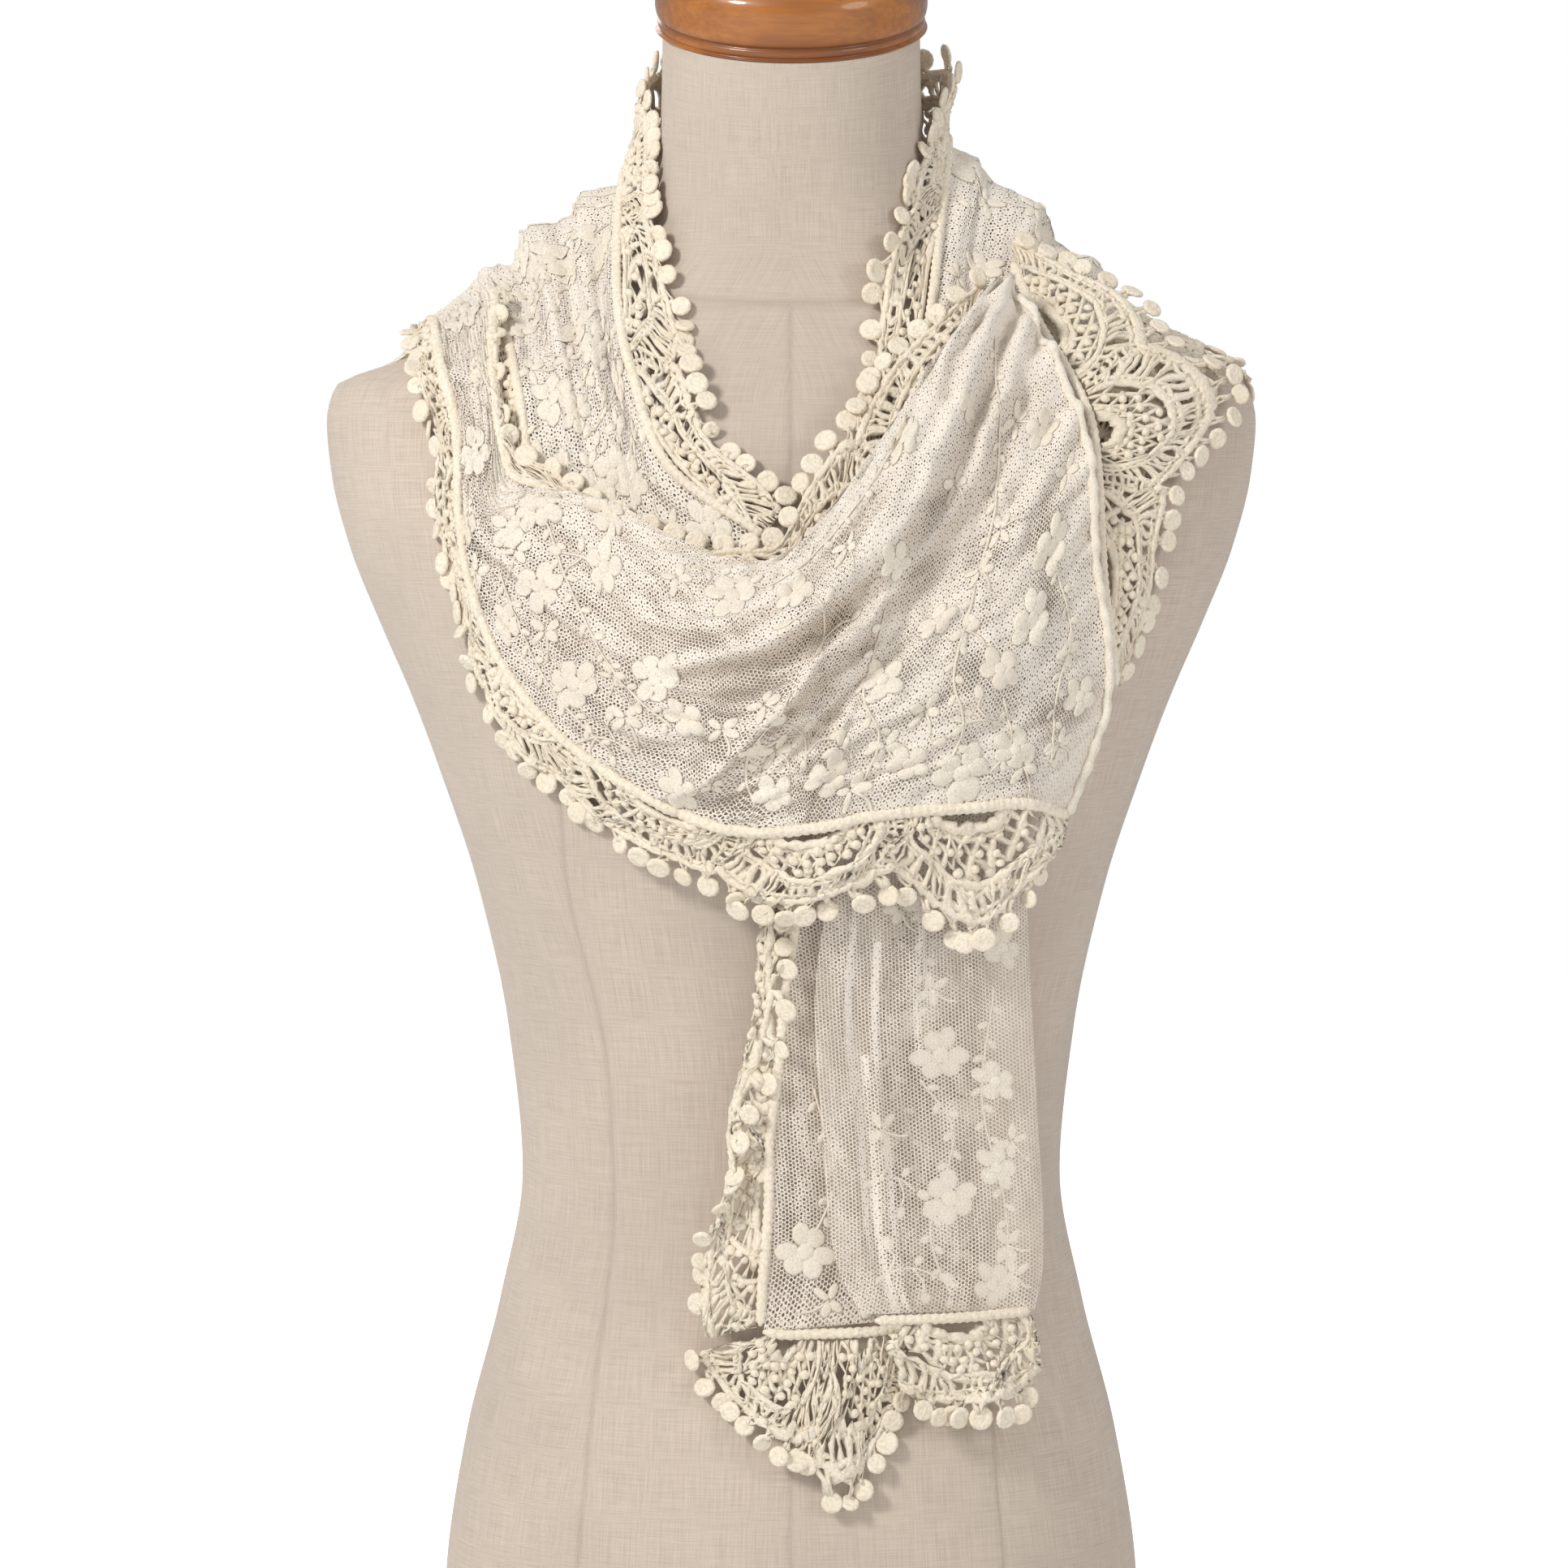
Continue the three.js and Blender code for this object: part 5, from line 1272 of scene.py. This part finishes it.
# %% [markdown]
# ## Laying the trim
# A trim's chart runs from its seam to its edge. The scallops are counted from the edge's length, as a lace is when it
# is eased round a corner. Buttons and bobbles are set down as stiff shapes, so they stay round where the lace between
# them is pushed together. The cord that joins trim and net is a twisted tube along the seam.

# %% Trims
def seam_cord(line, out, wide, high, twist=3.4):
    """A twisted cord along a line: an oval tube whose size swells and shrinks as a sine along it, so that it looks
    plied, and is drawn in at both ends."""
    length = run_along(line)
    even = np.linspace(0, length[-1], max(int(length[-1] / 1.1), 8))
    line, out = (np.column_stack([np.interp(even, length, field[:, k]) for k in range(3)]) for field in (line, out))
    side = np.cross(out, unit(np.gradient(line, axis=0)))
    swell = 1 + 0.14 * np.sin(2 * np.pi * even / twist)
    taper = np.clip(np.minimum(np.arange(len(even)), np.arange(len(even))[::-1]) / 2, 0.35, 1)
    return tube(line, side, out, wide * swell * taper, high * swell * taper, 8)


def crochet_trim(part, surface, us, vs, ruffle=1.0, seam=(2.1, 1.5), turn=0):
    """The scallop laid on a chart: x over the scallop's length is the share along, y over the depth is the share
    across. A slow wander shifts the drawing, a tug crumples it, and a ruffle lifts it, so that no two scallops are the
    same. All are sums of sines, and the ruffle's number makes them stronger."""
    chart = Chart(surface, us, vs, vs[1])
    count = max(round(chart.length / SCALLOP), 1)
    shift = (np.arange(count) + 0.5)[:, None]

    def place(x, y):
        run = x / SCALLOP + shift
        wander = (0.007 + 0.011 * ruffle) * (np.sin(5.1 * run + 0.11 * y + turn) + 0.7 * np.sin(13.7 * run + 0.2 * y))
        rise = ruffle * (np.sin(4.3 * run * (1 + 0.1 * np.sin(run)) + 0.05 * y + turn) * 0.6
                         + 0.5 * np.sin(9.1 * run - 0.1 * y)) * np.clip(y / 25, 0, 1)
        draw_in = 0.018 * np.sin(7.9 * run + turn) + 0.02 * ruffle * np.sin(3.3 * run * (1 + 0.07 * run) + 0.06 * y)
        tug = min(0.25 + 0.22 * ruffle, 1.0)
        side = tug * (np.sin(0.83 * x + 0.41 * y + 3 * run) + 0.8 * np.sin(1.31 * y - 0.57 * x + turn))
        down = (tug * (np.sin(0.71 * y + 0.62 * x + 2 * run) + 0.8 * np.sin(1.17 * x - 0.36 * y + turn))
                * np.clip(y / 4, 0, 1))
        return ((run + wander + side / SCALLOP) / count, (y * (1 + draw_in - 0.012 * ruffle) + down) / TRIM_DEPTH,
                rise + 0.5 * side)

    name = "lace_" + part
    draw = np.random.default_rng(len(name) + int(chart.length))
    a, b, rise = place(*cords[0][:, :2].T)
    lumps = 0.3 * np.sin(1.9 * cords[0][:, 0] + turn) * np.sin(2.3 * cords[0][:, 1])
    laid = [copies(cords, chart.lay(a, b, rise + lumps + cords[0][:, 2]))]
    tones = [np.tile(0.5 + 0.35 * np.sin(cords[0][:, 0] * 0.2 + cords[0][:, 1] * 0.15), count)]
    for shape, spots, strength in (
            (BUTTON, np.column_stack([BUTTON_AT, edge_depth(BUTTON_AT) - 5]), 0.5), (BOBBLE, bobbles, 0.35)):
        a, b, rise = (value.ravel() for value in place(*spots.T))
        size = draw.uniform(0.88, 1.08, (len(a), 1, 1))
        raised = shape[0] * size + np.stack([0 * rise, 0 * rise, rise], -1)[:, None]
        a, b = a + draw.normal(0, 0.5, len(a)) / chart.length, b + draw.normal(0, 0.008, len(a))
        stood = chart.stand(a, b, raised, draw.normal(0, 0.10 + 0.07 * ruffle, (len(a), 2)))
        laid.append(copies(shape, stood))
        tones.append(np.repeat(0.5 + strength * np.sin(np.arange(len(stood)) * 2.7), len(shape[0])))
    share = np.linspace(0, 1, 300)
    laid.append(seam_cord(chart.lay(share, 0 * share, 0 * share + 0.4), chart.read(chart.normal, share, 0 * share),
                          *seam))
    tones.append(np.full(len(laid[-1][0]), 0.7))
    points, quads, triangles = joined(laid)
    if chart.flip:
        quads, triangles = quads[:, ::-1], triangles[:, ::-1]
    piece = make_piece(name, points, quads, lace_yarn, triangles, values={"tone": np.concatenate(tones)})
    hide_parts("trim_" + part)
    print(f"  {name}: {count} scallops along {chart.length:.0f} mm")
    return piece


wrap_back = lambda u, v: wrap(WRAP_END - u, v)
cowl_back = lambda u, v: cowl(COWL_END - u, v)
flip = lambda part: (WRAP_END - STRETCHES[part][1], WRAP_END - STRETCHES[part][0])
trims = {
    "right_shoulder": [
        crochet_trim("neck_right", wrap_back, flip("right_shoulder"), (1, 0), ruffle=2.2),
        crochet_trim("outer_right", wrap, (1.4, WRAP_RIGHT), (5, 6))],
    "back": [
        crochet_trim("neck_back", wrap_back, flip("back"), (1, 0), ruffle=1.4),
        crochet_trim("outer_back", wrap, STRETCHES["back"], (5, 6), ruffle=1.5)],
    "left_shoulder": [
        crochet_trim("neck_left", wrap_back, flip("left_shoulder"), (1, 0), ruffle=2.2),
        crochet_trim("outer_left", wrap, (WRAP_LEFT, 15), (5, 6))],
    "cowl": [
        crochet_trim("cowl_top", cowl_back, (0, COWL_END - 1), (0.9, 0), ruffle=1.4),
        crochet_trim("hem", cowl, (0, COWL_END), (6, 7), ruffle=2.4, seam=(2.4, 1.7), turn=1),
        crochet_trim("panel_end", panel_end, (0, 8), (0, 2), ruffle=1.2, turn=2)],
    "tail": [
        crochet_trim("tail_side", tail_side, (0, 8), (0, 2), ruffle=3.2, turn=3),
        crochet_trim("tail_end_back", tail_end_back, (0, 5), (0, 2), ruffle=3.2, turn=1),
        crochet_trim("tail_end_front", tail_end_front, (0, 4), (0, 2), ruffle=4.0, turn=2)]}

# %% [markdown]
# ## The rolled edge
# The net's cut end on the shoulder is rolled under and stitched, which makes a white cord about 4 mm thick. It is the
# seam cord again, with a slower twist.

# %% Rolled edge
ROLL_HALF_SIZES, ROLL_TWIST, ROLL_LIFT = (2.1, 1.8), 9.0, 0.6
end_line = cowl(np.full(160, COWL_END - 0.02), np.linspace(2.0, 6.0, 160))
end_out = form_near(end_line)[0]
points, quads, triangles = seam_cord(end_line + end_out * ROLL_LIFT, end_out, *ROLL_HALF_SIZES, ROLL_TWIST)
end_roll = make_piece("rolled_end_of_panel", points, quads, satin_yarn, triangles,
                      values={"tone": np.full(len(points), 0.9)})

# %% [markdown]
# ## The embroidery
# Flowers, crosses of four leaves and buds are worked on the net in satin stitch, joined by thin curved stems. Each
# petal and leaf is a low dome, so that it catches the light as padded stitching does. Two flowers, a cross and a spray
# are drawn flat, and laid on the net at the places chosen for each panel, where they follow its folds.

# %% Embroidery, drawn flat
STITCH_LIFT = 0.25


def petal(at, size, turn, high=0.5):
    """A low oval dome of satin stitch."""
    return flat_dome(at, size, turn, high, 8, ((0.0, 1.0), (0.55, 0.9), (0.85, 0.6), (1.0, 0.0)))


def ring_of(count, radius, size, start=0.0, high=0.5):
    """Petals set round a circle, each turned to point away from the middle. Sines make them a little uneven in place
    and size, as hand-guided stitching is."""
    uneven = [1 + 0.13 * math.sin(2.3 * k + count) for k in range(count)]
    turns = [start + (k + 0.14 * math.sin(3.1 * k + radius)) * 2 * math.pi / count for k in range(count)]
    return [petal((radius * e * math.cos(t), radius * e * math.sin(t)),
                  (size[0] * e, size[1] * (1.9 - 0.9 * e)), t, high) for t, e in zip(turns, uneven)]


def stem(points):
    """A thin flat cord on a smooth curve through the points."""
    last = len(points) - 1
    return flat_cord(through(points, np.linspace(0, last, 5 * last + 1)), 0.6, 0.4, 4)


def turned(shape, angle):
    """A flat shape's points turned in its plane, times a turn matrix, and lifted off the net."""
    cos, sin = math.cos(angle), math.sin(angle)
    return shape[0] @ np.array([[cos, sin, 0], [-sin, cos, 0], [0, 0, 1]]) + [0, 0, STITCH_LIFT]


FLOWER = joined(ring_of(6, 7.2, (5.0, 4.3)) + [petal((0, 0), (3.9, 3.9), 0.0, 0.7)])
SMALL_FLOWER = joined(ring_of(5, 5.4, (4.2, 3.6), 0.4) + [petal((0, 0), (2.9, 2.9), 0.0, 0.65)])
CROSS = joined(ring_of(4, 4.3, (3.9, 1.9), 0.78, 0.45) + [stem([(0, 0), (1.5, -7), (0.5, -12)])])
SPRAY = joined([stem([(0, 0), (5, 7), (6, 16), (2, 25)]), stem([(5, 7), (11, 10), (15, 9)]),
                stem([(6, 16), (0, 19), (-5, 18)])]
               + [petal(*leaf) for leaf in (((17.5, 9), (3.2, 2.2), 0.1), ((-7.5, 18), (3.2, 2.2), 0.4),
                                            ((1, 28), (2.3, 3.3), 0.2), ((2.4, 3), (2.6, 1.5), 1.1),
                                            ((9, 19), (2.6, 1.6), 0.6))])
KINDS = {"flower": FLOWER, "small": SMALL_FLOWER, "cross": CROSS, "spray": SPRAY}
print("one flower:", 2 * len(FLOWER[1]) + len(FLOWER[2]), "triangles")


# %% Embroidery, laid
LEAF = petal((3.1, 0), (2.7, 1.5), 0.0, 0.45)
LEAF_EVERY = 7.0


def vine(chart, share, path):
    """A stem along a smooth path drawn on the cloth, with leaves set by turns on its left and right about every
    7 mm."""
    last = len(path) - 1
    a, b = share(*through(path, np.linspace(0, last, 14 * last)).T)
    line, out = chart.lay(a, b, np.full(len(a), STITCH_LIFT + 0.1)), chart.read(chart.normal, a, b)
    shapes = [tube(line, np.cross(out, unit(np.gradient(line, axis=0))), out, 0.62, 0.42, 4)]
    length = run_along(line)
    x, y = np.gradient(a) * chart.read(chart.scale[0], a, b), np.gradient(b) * chart.read(chart.scale[1], a, b)
    heading = np.arctan2(-y if chart.flip else y, x)
    for k, at in enumerate(np.arange(4, length[-1], LEAF_EVERY)):
        j = int(np.searchsorted(length, at))
        shapes.append(copies(LEAF, chart.draw(a[j], b[j], turned(LEAF, heading[j] + (0.9 if k % 2 else -0.9)))))
    return joined(shapes)


def embroidery(part, surface, us, vs, worked, vines=()):
    """Every (kind, u, v, turn) laid on the panel's chart, just off the net, and the vines between them."""
    chart = Chart(surface, us, vs, (vs[0] + vs[1]) / 2, (500, 160))
    share = lambda u, v: (np.interp(u, chart.u_places, np.linspace(0, 1, len(chart.u_places))),
                          (v - vs[0]) / (vs[1] - vs[0]))
    laid = [vine(chart, share, path) for path in vines]
    tones = [np.full(len(shape[0]), 0.6) for shape in laid]
    for k, (kind, u, v, turn) in enumerate(worked):
        shape = KINDS[kind]
        laid.append(copies(shape, chart.draw(*share(u, v), turned(shape, turn))))
        tones.append(np.full(len(shape[0]), 0.5 + 0.45 * math.sin(k * 2.1)))
    points, quads, triangles = joined(laid)
    piece = make_piece("embroidery_" + part, points, quads, satin_yarn, triangles,
                       values={"tone": np.concatenate(tones)})
    return piece


def strewn(us, vs, step_u, step_v, seed):
    """A regular repeat: flowers and crosses by turns on staggered rows, each turned a little by a seeded draw."""
    draw = np.random.default_rng(seed)
    order = ["flower", "spray", "cross", "small", "cross", "spray"]
    worked = []
    for row, v in enumerate(np.arange(vs[0], vs[1], step_v)):
        for column, u in enumerate(np.arange(us[0] + (row % 2) * step_u / 2, us[1], step_u)):
            kind = order[(column + 2 * row) % len(order)]
            worked.append((kind, u + draw.uniform(-0.06, 0.06), v + draw.uniform(-0.05, 0.05), draw.uniform(0, 6.28)))
    return worked


ON_COWL = [
    ("flower", 4.7, 3.1, 0.3), ("flower", 5.6, 4.1, 0.9), ("small", 5.5, 5.3, 0.1), ("flower", 6.6, 5.1, 0.5),
    ("flower", 7.4, 4.05, 0.2), ("small", 8.0, 4.4, 0.7), ("cross", 7.3, 4.9, 0.8), ("cross", 8.6, 4.35, 0.4),
    ("cross", 9.15, 3.95, 0.9), ("spray", 6.3, 3.5, 1.4), ("small", 6.2, 3.0, 0.2), ("spray", 7.6, 5.4, 2.2),
    ("cross", 8.7, 5.2, 0.2), ("small", 9.6, 5.3, 0.5), ("spray", 9.9, 5.0, 0.4), ("cross", 10.6, 5.5, 0.6),
    ("cross", 10.4, 4.7, 1.0), ("small", 11.3, 5.2, 0.3), ("flower", 12.0, 5.55, 0.15), ("cross", 11.5, 4.5, 0.1),
    ("cross", 12.1, 3.85, 0.7), ("cross", 12.4, 3.4, 0.2), ("small", 11.7, 3.6, 0.9), ("spray", 12.6, 4.9, 1.7),
    ("flower", 13.4, 3.6, 0.25), ("flower", 13.05, 4.0, 0.6), ("small", 13.6, 4.9, 0.4), ("cross", 12.8, 3.2, 1.2),
    ("cross", 13.3, 2.7, 0.5), ("small", 12.6, 2.5, 0.2), ("flower", 11.5, 2.3, 0.7), ("cross", 10.4, 2.6, 0.2),
    ("small", 9.4, 2.7, 0.8), ("flower", 8.2, 2.6, 0.1), ("cross", 7.2, 2.6, 0.9), ("small", 6.0, 2.2, 0.3),
    ("cross", 12.9, 5.5, 0.3), ("small", 10.9, 3.9, 0.2), ("spray", 9.9, 3.4, 0.2), ("flower", 3.3, 4.2, 0.4),
    ("cross", 2.4, 3.2, 0.1), ("flower", 1.2, 4.0, 0.6), ("small", 4.0, 5.2, 0.7), ("cross", 4.7, 5.4, 0.4),
    ("small", 12.55, 4.3, 0.3), ("cross", 13.5, 4.45, 0.5), ("cross", 13.4, 5.3, 0.9), ("flower", 10.3, 5.15, 0.4),
    ("small", 12.75, 5.2, 0.8), ("cross", 11.0, 4.85, 0.3), ("cross", 9.5, 4.6, 0.6), ("small", 8.3, 5.55, 0.4),
    ("cross", 13.7, 3.2, 0.2), ("small", 13.55, 2.85, 0.7), ("cross", 12.2, 2.75, 0.1), ("small", 11.1, 2.9, 0.5),
    ("cross", 6.9, 4.45, 0.2), ("small", 5.1, 2.4, 0.6), ("cross", 5.0, 3.7, 0.3), ("cross", 6.0, 4.75, 0.7)]
COWL_VINES = [
    [(13.4, 3.7), (13.55, 4.3), (13.3, 4.8), (13.3, 5.5)], [(12.3, 3.5), (11.9, 4.2), (12.0, 4.8), (11.75, 5.5)],
    [(10.9, 3.2), (10.65, 4.0), (10.9, 4.7), (10.7, 5.5)], [(9.6, 3.9), (9.1, 4.6), (9.35, 5.5)],
    [(5.2, 2.7), (5.9, 3.7), (6.9, 4.4), (7.9, 4.6)], [(5.0, 4.5), (6.1, 5.35), (7.4, 5.65)],
    [(13.3, 2.3), (12.8, 3.0), (12.4, 3.4)], [(12.6, 4.6), (12.7, 5.1), (12.4, 5.6)],
    [(7.4, 2.3), (9.0, 2.5), (10.4, 2.4), (11.6, 2.2)]]
ON_TAIL = [
    ("flower", 3.0, 6.3, 0.5), ("small", 3.35, 5.55, 0.2), ("flower", 4.75, 6.3, 0.1), ("flower", 5.55, 0.4, 0.4),
    ("cross", 1.2, 6.9, 0.9), ("spray", 0.6, 7.2, 3.6), ("cross", 1.2, 5.4, 0.3), ("small", 1.7, 5.35, 0.6),
    ("cross", 3.9, 7.2, 0.2), ("cross", 4.1, 5.35, 0.7), ("small", 4.4, 5.6, 0.5), ("spray", 4.6, 7.5, 3.3),
    ("spray", 6.2, 7.55, 3.1), ("cross", 6.1, 5.4, 0.4), ("small", 6.3, 5.75, 0.9), ("cross", 2.2, 6.4, 0.4),
    ("cross", 5.5, 5.5, 0.1), ("small", 2.6, 1.6, 0.2), ("flower", 1.4, 1.0, 0.3), ("small", 4.2, 1.2, 0.5),
    ("flower", 3.6, 2.3, 0.8), ("cross", 5.6, 2.1, 0.2), ("small", 6.4, 1.2, 0.6), ("cross", 6.5, 0.7, 0.3)]
TAIL_VINES = [
    [(0.3, 7.0), (1.1, 6.6), (2.4, 6.45)], [(3.3, 6.6), (4.0, 6.2), (5.2, 6.6), (6.6, 6.4)],
    [(2.2, 5.5), (3.6, 5.75), (5.0, 5.5), (6.6, 5.55)], [(0.4, 5.8), (1.0, 5.5), (1.8, 5.4)],
    [(3.4, 0.4), (4.4, 0.7), (5.2, 0.5)], [(0.8, 1.4), (2.6, 1.2), (4.4, 1.6), (6.4, 1.5)]]
wrap_worked = strewn((0.4, 15.7), (1.5, 4.8), 0.6, 0.62, 7)
for part, (low, high) in STRETCHES.items():
    within = [worked for worked in wrap_worked if low + 0.15 < worked[1] < high - 0.15]
    embroidery(part, wrap, (low, high), WRAP_NET, within)
embroidery("cowl", cowl, (0, COWL_END), COWL_NET, ON_COWL, COWL_VINES)
embroidery("tail", tail, TAIL_STRETCH, TAIL_NET, ON_TAIL, TAIL_VINES)

# %% [markdown]
# ## The cloth's flat sizes
# CUTS gives each panel of net the width and length it would have flat and how it is held; its trims are the pieces
# sewn to it. The sizes are of what shows: the net's pleats take up a little more than the surface measures.

# %% Sheets
CUTS = {"right_shoulder": (0.075, 0.16, "gathered"), "back": (0.15, 0.39, "draped"),
        "left_shoulder": (0.08, 0.28, "draped"), "cowl": (0.13, 0.37, "draped"), "tail": (0.215, 0.21, "folded")}
for part, (width, length, held) in CUTS.items():
    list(trims[part])
print("sheets:", CUTS)

# %% [markdown]
# ## Floor, light and camera
# The form stands on a pale floor under a large soft light from the wearer's right, with weaker ones from the wearer's
# left and from behind, and the sky as a gentle fill. The floor glows to the camera alone, and the sky is brighter to
# it, which keeps the ground white without adding light. The camera stands level with the chest, a long lens away, and
# looks down a little.

# %% Stage
FLOOR_RADIUS, FLOOR_SIDES, FLOOR_DROP = 3000, 96, 0.5
FLOOR_GLOW, SKY_LEVEL = 0.62, 0.45


def stage_floor():
    """A flat disc 6 m across, for the form to stand on."""
    angle = np.arange(FLOOR_SIDES) * 2 * np.pi / FLOOR_SIDES
    points = np.column_stack([FLOOR_RADIUS * np.cos(angle), FLOOR_RADIUS * np.sin(angle), 0 * angle - FLOOR_DROP])
    mesh = bpy.data.meshes.new("floor")
    mesh.from_pydata((points * MM).tolist(), [], [list(range(FLOOR_SIDES))])
    floor = in_scene("floor", mesh)
    material, tree, shader = new_finish("floor", 0.9)
    place = put(tree, "TexCoord").outputs["Object"]
    tree.links.new(blend(tree, noise(tree, place, 3.0), (0.90, 0.90, 0.90), (0.94, 0.94, 0.94)),
                   shader.inputs["Base Color"])
    shader.inputs["Emission Color"].default_value = (1, 1, 1, 1)
    seen = put(tree, "LightPath").outputs["Is Camera Ray"]
    tree.links.new(sums(tree, "MULTIPLY", seen, FLOOR_GLOW), shader.inputs["Emission Strength"])
    mesh.materials.append(material)


stage_floor()


def aim(thing, target):
    """Turns a light or camera to look along the line from its place to the target, with z up."""
    away = np.array(thing.location) - np.array(target)
    thing.rotation_euler = (math.atan2(math.hypot(away[0], away[1]), away[2]), 0, math.atan2(away[0], -away[1]))


def soft_light(name, place, target, size, power, colour):
    """A round lamp, size metres across, that faces the target."""
    data = bpy.data.lights.new(name, "AREA")
    data.shape, data.size, data.energy, data.color = "DISK", size, power, colour
    lamp = in_scene(name, data)
    lamp.location = place
    aim(lamp, target)


soft_light("key", (-1.6, -1.7, 1.85), (0, 0, 0.46), 0.6, 45, (1.0, 0.985, 0.96))
soft_light("fill", (1.9, -1.5, 1.05), (0, 0, 0.5), 1.0, 11, (1.0, 0.985, 0.965))
soft_light("rim", (-0.6, 1.9, 1.6), (0, 0, 0.5), 1.2, 8, (1.0, 1.0, 1.0))
world = bpy.data.worlds.new("sky")
world.use_nodes = True
bpy.context.scene.world = world
sky = world.node_tree
background = next(n for n in sky.nodes if n.type == "BACKGROUND")
seen = put(sky, "LightPath").outputs["Is Camera Ray"]
sky.links.new(put(sky, "MapRange", ((0, seen), (3, SKY_LEVEL), (4, 1.0))).outputs[0], background.inputs["Strength"])
background.inputs["Color"].default_value = (1, 1, 1, 1)

# %% Camera
lens = bpy.data.cameras.new("camera")
lens.lens, lens.sensor_width = 110.0, 36.0
camera = in_scene("camera", lens)
camera.location = (-0.003, -1.995, 0.5405)
aim(camera, (-0.003, 0.0, 0.401))
bpy.context.scene.camera = camera
bpy.context.scene.view_settings.view_transform = "Standard"
bpy.context.scene.view_settings.look = "None"
